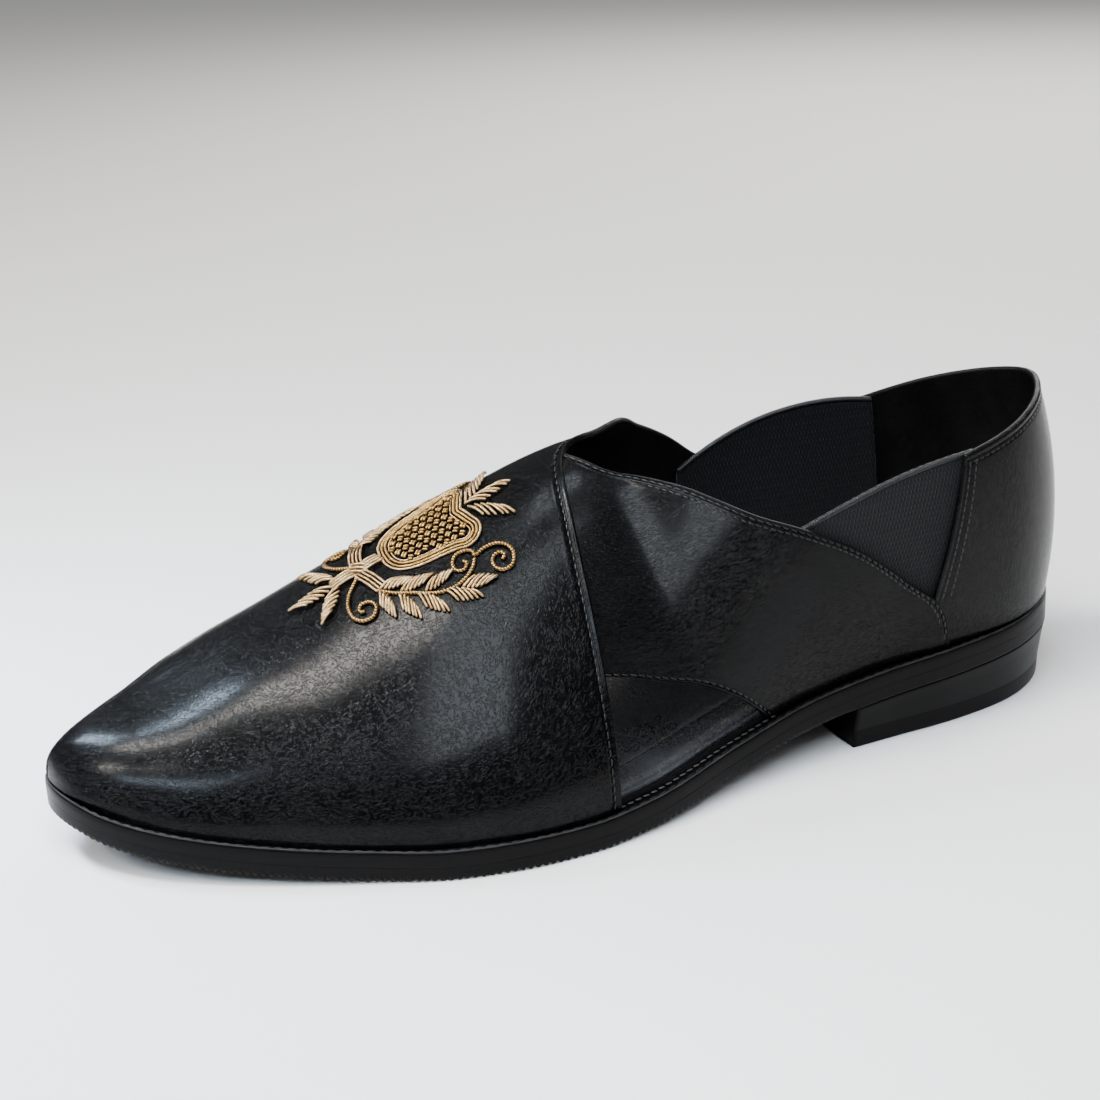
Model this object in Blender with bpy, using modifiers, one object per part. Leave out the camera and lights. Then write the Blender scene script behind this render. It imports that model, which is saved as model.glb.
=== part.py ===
# Peshawari chappal, left shoe of a pair, closed pointed-toe pattern.
# Metres, +Z up, toe toward -Y, outer (lateral) side toward +X.
# The origin is on the floor, under the middle of the outsole's box.
from math import acos, cos, pi, radians, sin
import bmesh
import bpy
from mathutils import Vector

# Sole
LENGTH = 0.303             # outsole, toe tip to heel back
BALL_WIDTH = 0.1045        # outsole at its widest
TOE_SPRING = 0.0136        # underside above the floor at the toe tip
HEEL_HEIGHT = 0.0185       # underside above the floor at the heel's back
OUTSOLE_THICKNESS = 0.0044
MIDSOLE_THICKNESS = 0.0040
SOLE_EDGE_ROUND = 0.0009   # how far the sole's edges are drawn in
MIDSOLE_STEP = 0.0005      # midsole stands back from the outsole
INSOLE_THICKNESS = 0.0020
HEEL_BREAST = 0.0825       # heel's front face, from the heel's back
HEEL_TAPER = 0.0022        # heel's foot is drawn in from its top
CLEARANCE = 0.0003         # between pieces that lie on each other
SEAT_TRIM = 0.0016         # the upper's foot is cut from this far below the seat

# Upper
INSTEP_HEIGHT = 0.0900     # inside of the upper above the floor, at the throat
COLLAR_HEIGHT = 0.0922     # top of the counter at the heel's back
WELT = 0.0026              # ledge of the sole that shows outside the vamp
HEEL_WELT = 0.0008         # the same ledge behind the counter
LEATHER = 0.0016           # thickness of each panel
LAP = 0.0008               # how deep one panel is sunk into the one under it
MOUTH_LIFT = 0.0050        # vamp's inner edge stands off the panel under it
HEEL_BULGE = 0.0050        # counter's back swells behind the collar
GORE_THICKNESS = 0.0010

# Outline and underside of the sole. Widths are shares of BALL_WIDTH from the
# centre line; the lifts are shares of TOE_SPRING and HEEL_HEIGHT.
SOLE_COLUMNS = ("along", "lateral", "medial", "toe_lift", "heel_lift")
SOLE_ROWS = (
    (0.000, -0.106, -0.106, 1.00, 0.00),
    (0.013, 0.034, -0.180, 0.82, 0.00),
    (0.040, 0.135, -0.232, 0.60, 0.00),
    (0.082, 0.236, -0.291, 0.42, 0.00),
    (0.148, 0.343, -0.366, 0.23, 0.00),
    (0.231, 0.446, -0.423, 0.08, 0.00),
    (0.314, 0.530, -0.450, 0.00, 0.00),
    (0.396, 0.553, -0.447, 0.00, 0.00),
    (0.431, 0.545, -0.438, 0.00, 0.00),
    (0.495, 0.505, -0.418, 0.00, 0.07),
    (0.594, 0.405, -0.394, 0.00, 0.34),
    (0.676, 0.344, -0.380, 0.00, 0.60),
    (0.759, 0.313, -0.374, 0.00, 0.76),
    (0.842, 0.287, -0.360, 0.00, 0.85),
    (0.912, 0.236, -0.318, 0.00, 0.91),
    (0.965, 0.141, -0.225, 0.00, 0.96),
    (0.989, 0.056, -0.142, 0.00, 0.99),
    (1.000, -0.043, -0.043, 0.00, 1.00),
)

# Sections of the last. The ridge's place is a share of BALL_WIDTH, its height
# one of INSTEP_HEIGHT. The pulls shape each half section: how far it rises
# straight from the sole, and how far it runs level from the ridge.
LAST_COLUMNS = ("along", "ridge", "height", "side_pull", "top_pull", "swell")
LAST_ROWS = (
    (0.000, -0.106, 0.252, 0.55, 0.55, 0.00),
    (0.020, -0.106, 0.315, 0.55, 0.55, 0.00),
    (0.050, -0.108, 0.362, 0.52, 0.55, 0.00),
    (0.099, -0.110, 0.418, 0.48, 0.52, 0.02),
    (0.198, -0.112, 0.565, 0.42, 0.48, 0.03),
    (0.297, -0.112, 0.715, 0.40, 0.42, 0.03),
    (0.396, -0.110, 0.858, 0.40, 0.36, 0.03),
    (0.495, -0.100, 0.968, 0.40, 0.34, 0.04),
    (0.538, -0.090, 1.000, 0.40, 0.36, 0.06),
    (0.594, -0.080, 1.120, 0.48, 0.50, 0.18),
    (0.693, -0.065, 1.380, 0.58, 0.75, 0.38),
    (0.842, -0.050, 1.520, 0.60, 0.85, 0.26),
    (1.000, -0.043, 1.560, 0.60, 0.85, 0.00),
)

# Panel edges: share of the length, then share of the girth from the lateral
# sole edge (0) over the ridge (0.5) to the medial sole edge (1).
VAMP_MOUTH = ((0.000, 0.0), (0.000, 0.30), (0.010, 0.48), (0.050, 0.57), (0.124, 0.63),
              (0.232, 0.72), (0.342, 0.78), (0.472, 0.836), (0.543, 0.879), (0.592, 0.936),
              (0.639, 1.0))
VAMP_THROAT = ((0.465, 0.0), (0.469, 0.17), (0.481, 0.36), (0.498, 0.47), (0.540, 0.545),
               (0.574, 0.606), (0.604, 0.688), (0.656, 0.797), (0.682, 0.838), (0.752, 0.91),
               (0.838, 1.0))
STRAP_MOUTH = ((0.000, 1.0), (0.000, 0.70), (0.010, 0.52), (0.050, 0.43), (0.124, 0.37),
               (0.232, 0.28), (0.342, 0.22), (0.472, 0.164), (0.543, 0.121), (0.592, 0.064),
               (0.639, 0.0))
STRAP_THROAT = ((0.465, 1.0), (0.469, 0.83), (0.481, 0.64), (0.490, 0.50), (0.521, 0.414),
                (0.554, 0.366), (0.609, 0.265), (0.638, 0.215), (0.671, 0.172), (0.708, 0.133),
                (0.783, 0.069), (0.824, 0.037), (0.838, 0.0))

# Counter and gores: places along the shoe, and heights as shares of
# COLLAR_HEIGHT.
COUNTER_FOOT = 0.796       # front corner at the sole
COUNTER_TOP = 0.851        # front corner at the collar
COUNTER_DIP = 0.884        # collar height at the front corner
GORE_COLUMNS = ("side", "front", "front_foot", "front_top", "rear", "rear_foot", "rear_top", "crown")
GORE_ROWS = (
    ("lateral", 0.648, 0.600, 0.715, 0.866, 0.310, 0.880, 0.034),
    ("medial", 0.648, 0.600, 0.740, 0.866, 0.310, 0.880, 0.070),
)

SOLE_STATIONS = 36
PANEL_ROWS = 14
PANEL_COLUMNS = 36
COUNTER_ROWS = 7
COUNTER_STATIONS = 24
GORE_CELLS = 7
STEP = 0.004               # reach of the differences that give a normal

SOLE_THICKNESS = OUTSOLE_THICKNESS + MIDSOLE_THICKNESS
COUNTER_BASE = 0.0
STRAP_BASE = COUNTER_BASE + LEATHER - LAP
VAMP_BASE = STRAP_BASE + LEATHER - LAP
LAST_INSET = WELT + VAMP_BASE + LEATHER
HEEL_INSET = HEEL_WELT + COUNTER_BASE + LEATHER


def turn_at(share):
    # Half turn (0 to 1) whose cosine gives this share of the length.
    return acos(max(-1.0, min(1.0, 1.0 - 2.0 * share))) / pi


def share_at(turn):
    return (1.0 - cos(pi * turn)) / 2.0


def smooth(value, low, high):
    t = max(0.0, min(1.0, (value - low) / (high - low)))
    return t * t * (3.0 - 2.0 * t)


def slopes(knots, values, level):
    # Slopes through a table's rows; level ones keep a flat stretch flat.
    gaps = [b - a for a, b in zip(knots, knots[1:])]
    steps = [(b - a) / gap for a, b, gap in zip(values, values[1:], gaps)]
    inner = []
    for i in range(len(steps) - 1):
        a, b = steps[i], steps[i + 1]
        if level:
            inner.append(0.0 if a * b <= 0 else 2 * a * b / (a + b))
        else:
            inner.append((a * gaps[i + 1] + b * gaps[i]) / (gaps[i] + gaps[i + 1]))
    return [steps[0]] + inner + [steps[-1]]


def column(rows, names, name):
    place = names.index(name)
    knots = [turn_at(row[0]) for row in rows]
    values = [row[place] for row in rows]
    return knots, values, slopes(knots, values, level=name.endswith("lift"))


def read(curve, turn):
    knots, values, slope = curve
    i = 0
    while i < len(knots) - 2 and turn > knots[i + 1]:
        i += 1
    width = knots[i + 1] - knots[i]
    t = (turn - knots[i]) / width
    a = values[i] * (1 + 2 * t) * (1 - t) ** 2 + values[i + 1] * t * t * (3 - 2 * t)
    b = slope[i] * t * (1 - t) ** 2 - slope[i + 1] * t * t * (1 - t)
    return a + b * width


SOLE = {name: column(SOLE_ROWS, SOLE_COLUMNS, name) for name in SOLE_COLUMNS[1:]}
LAST = {name: column(LAST_ROWS, LAST_COLUMNS, name) for name in LAST_COLUMNS[1:]}


def underside(y):
    turn = turn_at(y / LENGTH)
    return read(SOLE["toe_lift"], turn) * TOE_SPRING + read(SOLE["heel_lift"], turn) * HEEL_HEIGHT


def outline(side, turn, inset):
    # Point of the sole's outline, drawn in square to its edge.
    def at(t):
        return Vector((read(SOLE[side], t) * BALL_WIDTH, share_at(t) * LENGTH))
    low, high = max(0.0, turn - STEP), min(1.0, turn + STEP)
    run = at(high) - at(low)
    if turn <= 0.0:
        run = Vector((1.0 if side == "lateral" else -1.0, 0.0))
    if turn >= 1.0:
        run = Vector((-1.0 if side == "lateral" else 1.0, 0.0))
    run.normalize()
    inward = Vector((-run.y, run.x)) if side == "lateral" else Vector((run.y, -run.x))
    return at(turn) + inward * inset


def last_inset(turn):
    # The last stands closer to the sole's edge round the heel.
    return LAST_INSET - (LAST_INSET - HEEL_INSET) * smooth(share_at(turn), 0.74, 0.97)


def last(turn, girth):
    # Point of the last's surface, before the origin is set.
    side = "lateral" if girth <= 0.5 else "medial"
    t = 2.0 * girth if girth <= 0.5 else 2.0 * (1.0 - girth)
    edge = outline(side, turn, last_inset(turn))
    foot = Vector((edge.x, edge.y, underside(edge.y) + SOLE_THICKNESS - SEAT_TRIM))
    ridge_y = LAST_INSET + share_at(turn) * (LENGTH - 2.0 * LAST_INSET)
    ridge = Vector((read(LAST["ridge"], turn) * BALL_WIDTH, ridge_y, read(LAST["height"], turn) * INSTEP_HEIGHT))
    half = foot.x - ridge.x
    rise = ridge.z - foot.z
    side_pull, top_pull, swell = (read(LAST[k], turn) for k in ("side_pull", "top_pull", "swell"))
    low = foot + Vector((half * swell, 0.0, rise * side_pull))
    high = ridge + Vector((half * top_pull, 0.0, 0.0))
    point = foot * (1 - t) ** 3 + low * 3 * t * (1 - t) ** 2 + high * 3 * t * t * (1 - t) + ridge * t ** 3
    up = (point.z - foot.z) / (COLLAR_HEIGHT - foot.z)
    back = smooth(share_at(turn), 0.72, 1.0)
    point.y += back * HEEL_BULGE * (2.9 * up * (1.0 - up) - 0.65 * up * up)
    return point


def middle():
    # Centre of the shoe's box, seen from above: the counter's back may stand
    # out behind the sole.
    turns = [i / 400 for i in range(401)]
    right = max(outline("lateral", turn, 0.0).x for turn in turns)
    left = min(outline("medial", turn, 0.0).x for turn in turns)
    back = max(last(1.0, turn / 2.0).y for turn in turns) + COUNTER_BASE + LEATHER
    return Vector(((left + right) / 2.0, max(back, LENGTH) / 2.0, 0.0))


ORIGIN = middle()


def surface(turn, girth, offset):
    # The last's surface, moved out by a panel's offset.
    t = max(0.012, min(0.988, turn))
    across = last(t + STEP, girth) - last(t - STEP, girth)
    g = max(STEP, min(1.0 - STEP, girth))
    along = last(t, g + STEP) - last(t, g - STEP)
    normal = across.cross(along)
    if turn <= 0.0 or turn >= 1.0:
        normal.x = 0.0
    normal.normalize()
    return last(turn, girth) + normal * offset - ORIGIN


def girth_at(side, turn, height):
    # Girth share where one side of the last reaches this height.
    low, high = 0.0, 0.5
    for _ in range(24):
        middle = (low + high) / 2.0
        girth = middle if side == "lateral" else 1.0 - middle
        if last(turn, girth).z < height:
            low = middle
        else:
            high = middle
    return low if side == "lateral" else 1.0 - low


def trace(points, t):
    # Smooth curve through a panel edge's points, even in its own length.
    path = [Vector((turn_at(along), girth)) for along, girth in points]
    lengths = [0.0]
    for a, b in zip(path, path[1:]):
        lengths.append(lengths[-1] + (b - a).length)
    reach = t * lengths[-1]
    i = 0
    while i < len(path) - 2 and reach > lengths[i + 1]:
        i += 1
    span = lengths[i + 1] - lengths[i]
    u = (reach - lengths[i]) / span
    before = path[i - 1] if i > 0 else path[i]
    after = path[i + 2] if i + 2 < len(path) else path[i + 1]
    leave = (path[i + 1] - before) / (span + (lengths[i] - lengths[i - 1] if i > 0 else 0.0)) * span
    reach_next = lengths[i + 2] - lengths[i + 1] if i + 2 < len(path) else 0.0
    enter = (after - path[i]) / (span + reach_next) * span
    a = path[i] * (1 + 2 * u) * (1 - u) ** 2 + path[i + 1] * u * u * (3 - 2 * u)
    return a + leave * u * (1 - u) ** 2 - enter * u * u * (1 - u)


def vamp_offset(turn, girth):
    share = share_at(turn)
    ease = smooth(share, 0.57, 0.68) * smooth(girth, 0.5, 0.62)
    stand = smooth(girth, 0.42, 0.66) * smooth(share, 0.0, 0.12) * (1.0 - smooth(share, 0.15, 0.48))
    return VAMP_BASE - (VAMP_BASE - STRAP_BASE) * ease + MOUTH_LIFT * stand


def strap_offset(turn, girth):
    return STRAP_BASE


def grid(rows, columns, place):
    # Open sheet of quads; place(i, j) gives each vertex.
    mesh = bmesh.new()
    verts = [[mesh.verts.new(place(i, j)) for j in range(columns + 1)] for i in range(rows + 1)]
    for i in range(rows):
        for j in range(columns):
            mesh.faces.new((verts[i][j], verts[i][j + 1], verts[i + 1][j + 1], verts[i + 1][j]))
    return mesh


def material(name, colour, roughness, metallic):
    made = bpy.data.materials.new(name)
    made.use_nodes = True
    shader = made.node_tree.nodes["Principled BSDF"]
    shader.inputs["Base Color"].default_value = (*colour, 1.0)
    shader.inputs["Roughness"].default_value = roughness
    shader.inputs["Metallic"].default_value = metallic
    return made


def finish(mesh, name, look, group, smooth_angle=35.0):
    data = bpy.data.meshes.new(name)
    mesh.to_mesh(data)
    mesh.free()
    data.shade_smooth()
    data.set_sharp_from_angle(angle=radians(smooth_angle))
    data.materials.append(look)
    made = bpy.data.objects.new(name, data)
    group.objects.link(made)
    return made


def thicken(made, thickness):
    wall = made.modifiers.new("Wall", "SOLIDIFY")
    wall.thickness = thickness
    wall.offset = 1.0
    wall.use_even_offset = False


def panel(name, mouth, throat, offset, look, group):
    # A four-sided panel: its lasted front edge, its rear strap end, its mouth
    # edge and its throat edge, filled evenly between them.
    def edge(start, stop, t):
        return start.lerp(stop, t)

    front = (trace(mouth, 0.0), trace(throat, 0.0))
    end = (trace(mouth, 1.0), trace(throat, 1.0))

    def place(i, j):
        s, t = i / PANEL_ROWS, j / PANEL_COLUMNS
        ends = edge(*front, s) * (1 - t) + edge(*end, s) * t
        sides = trace(mouth, t) * (1 - s) + trace(throat, t) * s
        corners = (front[0] * (1 - s) + front[1] * s) * (1 - t) + (end[0] * (1 - s) + end[1] * s) * t
        spot = ends + sides - corners
        turn, girth = max(0.0, spot.x), max(0.0, min(1.0, spot.y))
        return surface(turn, girth, offset(turn, girth))

    mesh = grid(PANEL_ROWS, PANEL_COLUMNS, place)
    if offset is vamp_offset:
        bmesh.ops.reverse_faces(mesh, faces=mesh.faces)
    made = finish(mesh, name, look, group)
    thicken(made, LEATHER)
    return made


def counter(name, look, group):
    def place(i, j):
        h = i / COUNTER_ROWS
        front = turn_at(COUNTER_FOOT + (COUNTER_TOP - COUNTER_FOOT) * h)
        t = 2.0 * j / COUNTER_STATIONS
        side = "lateral" if t <= 1.0 else "medial"
        turn = front + (1.0 - front) * (t if t <= 1.0 else 2.0 - t)
        rear = max(0.0, (turn - turn_at(COUNTER_TOP)) / (1.0 - turn_at(COUNTER_TOP)))
        top = COLLAR_HEIGHT * (COUNTER_DIP + (1.0 - COUNTER_DIP) * sin(pi / 2.0 * rear))
        foot = last(turn, 0.0 if side == "lateral" else 1.0).z
        girth = girth_at(side, turn, foot + (top - foot) * h) if i > 0 else (0.0 if side == "lateral" else 1.0)
        return surface(turn, girth, COUNTER_BASE)

    mesh = grid(COUNTER_ROWS, COUNTER_STATIONS, place)
    made = finish(mesh, name, look, group)
    thicken(made, LEATHER)
    return made


def gore(row, look, group):
    spec = dict(zip(GORE_COLUMNS, row))

    def place(i, j):
        h, t = i / GORE_CELLS, j / GORE_CELLS
        turn = turn_at(spec["front"] + (spec["rear"] - spec["front"]) * t)
        foot = spec["front_foot"] + (spec["rear_foot"] - spec["front_foot"]) * t
        top = spec["front_top"] + (spec["rear_top"] - spec["front_top"]) * t
        top += spec["crown"] * 4.0 * t * (1.0 - t)
        girth = girth_at(spec["side"], turn, (foot + (top - foot) * h) * COLLAR_HEIGHT)
        return surface(turn, girth, -CLEARANCE - GORE_THICKNESS)

    mesh = grid(GORE_CELLS, GORE_CELLS, place)
    if spec["side"] == "medial":
        bmesh.ops.reverse_faces(mesh, faces=mesh.faces)
    made = finish(mesh, "gore_" + spec["side"], look, group)
    thicken(made, GORE_THICKNESS)
    return made


def slab(name, first, rings, look, group):
    # A closed layer: rings of the outline from the bottom up, each with its
    # inset and height, from a first place along the shoe to the heel's back.
    mesh = bmesh.new()
    turns = [first + (1.0 - first) * i / SOLE_STATIONS for i in range(SOLE_STATIONS + 1)]
    loops = []
    for inset, height in rings:
        sides = []
        for side in ("lateral", "medial"):
            row = []
            for turn in turns:
                spot = outline(side, turn, inset(turn))
                row.append(mesh.verts.new(Vector((spot.x, spot.y, height(spot.y))) - ORIGIN))
            sides.append(row)
        loops.append(sides)
    count = len(turns)
    for ring, lower in enumerate(loops):
        around = lower[0] + lower[1][::-1]
        if ring + 1 < len(loops):
            upper = loops[ring + 1][0] + loops[ring + 1][1][::-1]
            for i in range(len(around)):
                k = (i + 1) % len(around)
                mesh.faces.new((around[i], around[k], upper[k], upper[i]))
    for sides in (loops[0], loops[-1]):
        for i in range(count - 1):
            mesh.faces.new((sides[0][i], sides[0][i + 1], sides[1][i + 1], sides[1][i]))
    bmesh.ops.remove_doubles(mesh, verts=mesh.verts, dist=0.00002)
    bmesh.ops.dissolve_degenerate(mesh, edges=mesh.edges, dist=0.00001)
    bmesh.ops.recalc_face_normals(mesh, faces=mesh.faces)
    return finish(mesh, name, look, group)


def level(offset):
    return lambda y: underside(y) + offset


def drawn(inset):
    return lambda turn: inset


def seat_cutter(look, tools):
    # What lies under the midsole's top: the upper's foot is cut flush to it.
    return slab("seat_cutter", 0.0, (
        (drawn(0.0), level(0.0)),
        (drawn(0.0), level(SOLE_THICKNESS + CLEARANCE)),
    ), look, tools)


def sole_pieces(looks, group):
    slab("outsole", 0.0, (
        (drawn(SOLE_EDGE_ROUND), level(0.0)),
        (drawn(0.0), level(SOLE_EDGE_ROUND)),
        (drawn(0.0), level(OUTSOLE_THICKNESS - CLEARANCE)),
    ), looks["rubber"], group)
    slab("midsole", 0.0, (
        (drawn(MIDSOLE_STEP), level(OUTSOLE_THICKNESS)),
        (drawn(MIDSOLE_STEP), level(SOLE_THICKNESS - SOLE_EDGE_ROUND)),
        (drawn(MIDSOLE_STEP + SOLE_EDGE_ROUND), level(SOLE_THICKNESS)),
    ), looks["rubber"], group)
    slab("heel", turn_at(1.0 - HEEL_BREAST / LENGTH), (
        (drawn(HEEL_TAPER + SOLE_EDGE_ROUND), lambda y: 0.0),
        (drawn(HEEL_TAPER), lambda y: SOLE_EDGE_ROUND),
        (drawn(SOLE_EDGE_ROUND), level(-CLEARANCE)),
    ), looks["rubber"], group)
    def inside(turn):
        return last_inset(turn) + CLEARANCE

    slab("insole", 0.0, (
        (inside, level(SOLE_THICKNESS + CLEARANCE)),
        (inside, level(SOLE_THICKNESS + CLEARANCE + INSOLE_THICKNESS)),
    ), looks["lining"], group)


def combine(body, tool, operation):
    tool.hide_render = True
    tool.display_type = "WIRE"
    step = body.modifiers.new(operation.title() + " " + tool.name, "BOOLEAN")
    step.operation = operation
    step.solver = "EXACT"
    step.object = tool


def main():
    for old in list(bpy.data.objects):
        bpy.data.objects.remove(old, do_unlink=True)
    group = bpy.data.collections.new("peshawari_chappal")
    tools = bpy.data.collections.new("joined_panels")
    for made in (group, tools):
        bpy.context.scene.collection.children.link(made)
    looks = {
        "leather": material("black_leather", (0.012, 0.011, 0.012), 0.32, 0.0),
        "lining": material("black_lining", (0.02, 0.02, 0.02), 0.55, 0.0),
        "rubber": material("black_rubber", (0.015, 0.015, 0.015), 0.45, 0.0),
        "elastic": material("black_elastic", (0.02, 0.02, 0.022), 0.8, 0.0),
    }
    sole_pieces(looks, group)
    vamp = panel("upper", VAMP_MOUTH, VAMP_THROAT, vamp_offset, looks["leather"], group)
    strap = panel("cross_panel", STRAP_MOUTH, STRAP_THROAT, strap_offset, looks["leather"], tools)
    cup = counter("counter_panel", looks["leather"], tools)
    combine(vamp, strap, "UNION")
    combine(vamp, cup, "UNION")
    combine(vamp, seat_cutter(looks["rubber"], tools), "DIFFERENCE")
    for row in GORE_ROWS:
        gore(row, looks["elastic"], group)


main()
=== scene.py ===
import math
import random

import bmesh
import bpy
import numpy as np
from mathutils import Matrix, Vector


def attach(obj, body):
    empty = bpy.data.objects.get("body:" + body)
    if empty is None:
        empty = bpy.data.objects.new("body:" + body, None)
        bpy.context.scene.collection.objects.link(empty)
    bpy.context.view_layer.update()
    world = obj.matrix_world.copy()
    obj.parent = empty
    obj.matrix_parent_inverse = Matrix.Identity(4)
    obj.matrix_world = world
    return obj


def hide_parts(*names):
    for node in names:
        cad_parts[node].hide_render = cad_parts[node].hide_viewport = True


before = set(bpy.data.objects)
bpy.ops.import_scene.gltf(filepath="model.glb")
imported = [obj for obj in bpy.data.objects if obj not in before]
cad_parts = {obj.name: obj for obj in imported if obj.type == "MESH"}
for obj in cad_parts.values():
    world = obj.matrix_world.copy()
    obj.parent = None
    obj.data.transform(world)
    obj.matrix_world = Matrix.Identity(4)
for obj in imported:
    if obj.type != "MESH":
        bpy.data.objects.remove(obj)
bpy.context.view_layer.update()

random.seed(7)

# The last: the same sizes and tables as the solids, in metres.

shoe = {
    "length": 0.303,
    "ball": 0.1045,
    "toeSpring": 0.0136,
    "heelHeight": 0.0185,
    "outsole": 0.0044,
    "midsole": 0.0040,
    "insole": 0.0020,
    "heelBreast": 0.0825,
    "heelTaper": 0.0022,
    "gap": 0.0003,
    "seatTrim": 0.0016,
    "instep": 0.0900,
    "collar": 0.0922,
    "welt": 0.0026,
    "heelWelt": 0.0008,
    "leather": 0.0016,
    "lap": 0.0008,
    "mouthLift": 0.0050,
    "heelBulge": 0.0050,
    "gore": 0.0010,
    "tipSoftness": 0.0025,
    "toeBulge": 0.0020,
}
soleTable = (  # along, lateral, medial, toe lift, heel lift
    (0.000, -0.106, -0.106, 1.00, 0.00), (0.013, 0.034, -0.180, 0.82, 0.00),
    (0.040, 0.135, -0.232, 0.60, 0.00), (0.082, 0.236, -0.291, 0.42, 0.00),
    (0.148, 0.343, -0.366, 0.23, 0.00), (0.231, 0.446, -0.423, 0.08, 0.00),
    (0.314, 0.530, -0.450, 0.00, 0.00), (0.396, 0.553, -0.447, 0.00, 0.00),
    (0.431, 0.545, -0.438, 0.00, 0.00), (0.495, 0.505, -0.418, 0.00, 0.07),
    (0.594, 0.405, -0.394, 0.00, 0.34), (0.676, 0.344, -0.380, 0.00, 0.60),
    (0.759, 0.313, -0.374, 0.00, 0.76), (0.842, 0.287, -0.360, 0.00, 0.85),
    (0.912, 0.236, -0.318, 0.00, 0.91), (0.965, 0.141, -0.225, 0.00, 0.96),
    (0.989, 0.056, -0.142, 0.00, 0.99), (1.000, -0.043, -0.043, 0.00, 1.00),
)
lastTable = (  # along, ridge, height, side pull, top pull, swell
    (0.000, -0.106, 0.252, 0.55, 0.55, 0.00), (0.020, -0.106, 0.315, 0.55, 0.55, 0.00),
    (0.050, -0.108, 0.362, 0.52, 0.55, 0.00), (0.099, -0.110, 0.418, 0.48, 0.52, 0.02),
    (0.198, -0.112, 0.565, 0.42, 0.48, 0.03), (0.297, -0.112, 0.715, 0.40, 0.42, 0.03),
    (0.396, -0.110, 0.858, 0.40, 0.36, 0.03), (0.495, -0.100, 0.968, 0.40, 0.34, 0.04),
    (0.538, -0.090, 1.000, 0.40, 0.36, 0.06), (0.594, -0.080, 1.120, 0.48, 0.50, 0.18),
    (0.693, -0.065, 1.380, 0.58, 0.75, 0.38), (0.842, -0.050, 1.520, 0.60, 0.85, 0.26),
    (1.000, -0.043, 1.560, 0.60, 0.85, 0.00),
)
vampMouth = (
    (0.000, 0.0), (0.000, 0.43), (0.010, 0.51), (0.050, 0.583), (0.124, 0.617), (0.185, 0.642),
    (0.232, 0.69), (0.342, 0.765), (0.472, 0.834), (0.543, 0.879), (0.592, 0.936), (0.639, 1.0),
)
vampThroat = (
    (0.465, 0.0), (0.469, 0.17), (0.481, 0.36), (0.498, 0.47), (0.540, 0.545), (0.574, 0.606),
    (0.604, 0.688), (0.656, 0.797), (0.682, 0.838), (0.752, 0.91), (0.838, 1.0),
)
strapMouth = (
    (0.000, 1.0), (0.000, 0.50), (0.010, 0.40), (0.050, 0.40), (0.124, 0.37), (0.232, 0.28),
    (0.342, 0.22), (0.472, 0.164), (0.543, 0.121), (0.592, 0.064), (0.639, 0.0),
)
strapThroat = (
    (0.465, 1.0), (0.469, 0.83), (0.481, 0.64), (0.490, 0.50), (0.521, 0.414), (0.554, 0.366),
    (0.609, 0.265), (0.638, 0.215), (0.671, 0.172), (0.708, 0.133), (0.783, 0.069),
    (0.824, 0.037), (0.838, 0.0),
)
counterEdge = {"foot": 0.796, "top": 0.851, "dip": 0.884}
reach = 0.004  # half width of the differences that give a normal
weldReach = 2e-6
soleThickness = shoe["outsole"] + shoe["midsole"]
strapBase = shoe["leather"] - shoe["lap"]
vampBase = strapBase + shoe["leather"] - shoe["lap"]
lastInset = shoe["welt"] + vampBase + shoe["leather"]
heelInset = shoe["heelWelt"] + shoe["leather"]


def turnAt(share):
    return np.arccos(1 - 2 * np.clip(share, 0, 1)) / np.pi


def shareAt(turn):
    return (1 - np.cos(np.pi * turn)) / 2


def ease(value, low, high):
    t = np.clip((value - low) / (high - low), 0, 1)
    return t * t * (3 - 2 * t)


def curveOf(table, index, level=False):
    knots = turnAt(np.array([row[0] for row in table]))
    values = np.array([row[index] for row in table])
    gaps = np.diff(knots)
    steps = np.diff(values) / gaps
    a, b = steps[:-1], steps[1:]
    if level:
        both = np.where(a * b > 0, a + b, 1)
        inner = np.where(a * b > 0, 2 * a * b / both, 0)
    else:
        inner = (a * gaps[1:] + b * gaps[:-1]) / (gaps[1:] + gaps[:-1])
    return knots, values, np.concatenate(([steps[0]], inner, [steps[-1]]))


def read(curve, turn):
    knots, values, slopes = curve
    i = np.clip(np.searchsorted(knots[1:], turn), 0, len(knots) - 2)
    width = knots[i + 1] - knots[i]
    t = (turn - knots[i]) / width
    a = values[i] * (1 + 2 * t) * (1 - t) ** 2 + values[i + 1] * t * t * (3 - 2 * t)
    b = slopes[i] * t * (1 - t) ** 2 - slopes[i + 1] * t * t * (1 - t)
    return a + b * width


lateralCurve = curveOf(soleTable, 1)
medialCurve = curveOf(soleTable, 2)
toeLift = curveOf(soleTable, 3, level=True)
heelLift = curveOf(soleTable, 4, level=True)
ridgeCurve, heightCurve, sidePull, topPull, swellCurve = (curveOf(lastTable, k) for k in range(1, 6))


def underside(y):
    y = np.hypot(y, shoe["tipSoftness"])
    turn = turnAt(y / shoe["length"])
    return read(toeLift, turn) * shoe["toeSpring"] + read(heelLift, turn) * shoe["heelHeight"]


def edgeX(lateral, turn):
    return np.where(lateral, read(lateralCurve, turn), read(medialCurve, turn)) * shoe["ball"]


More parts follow.
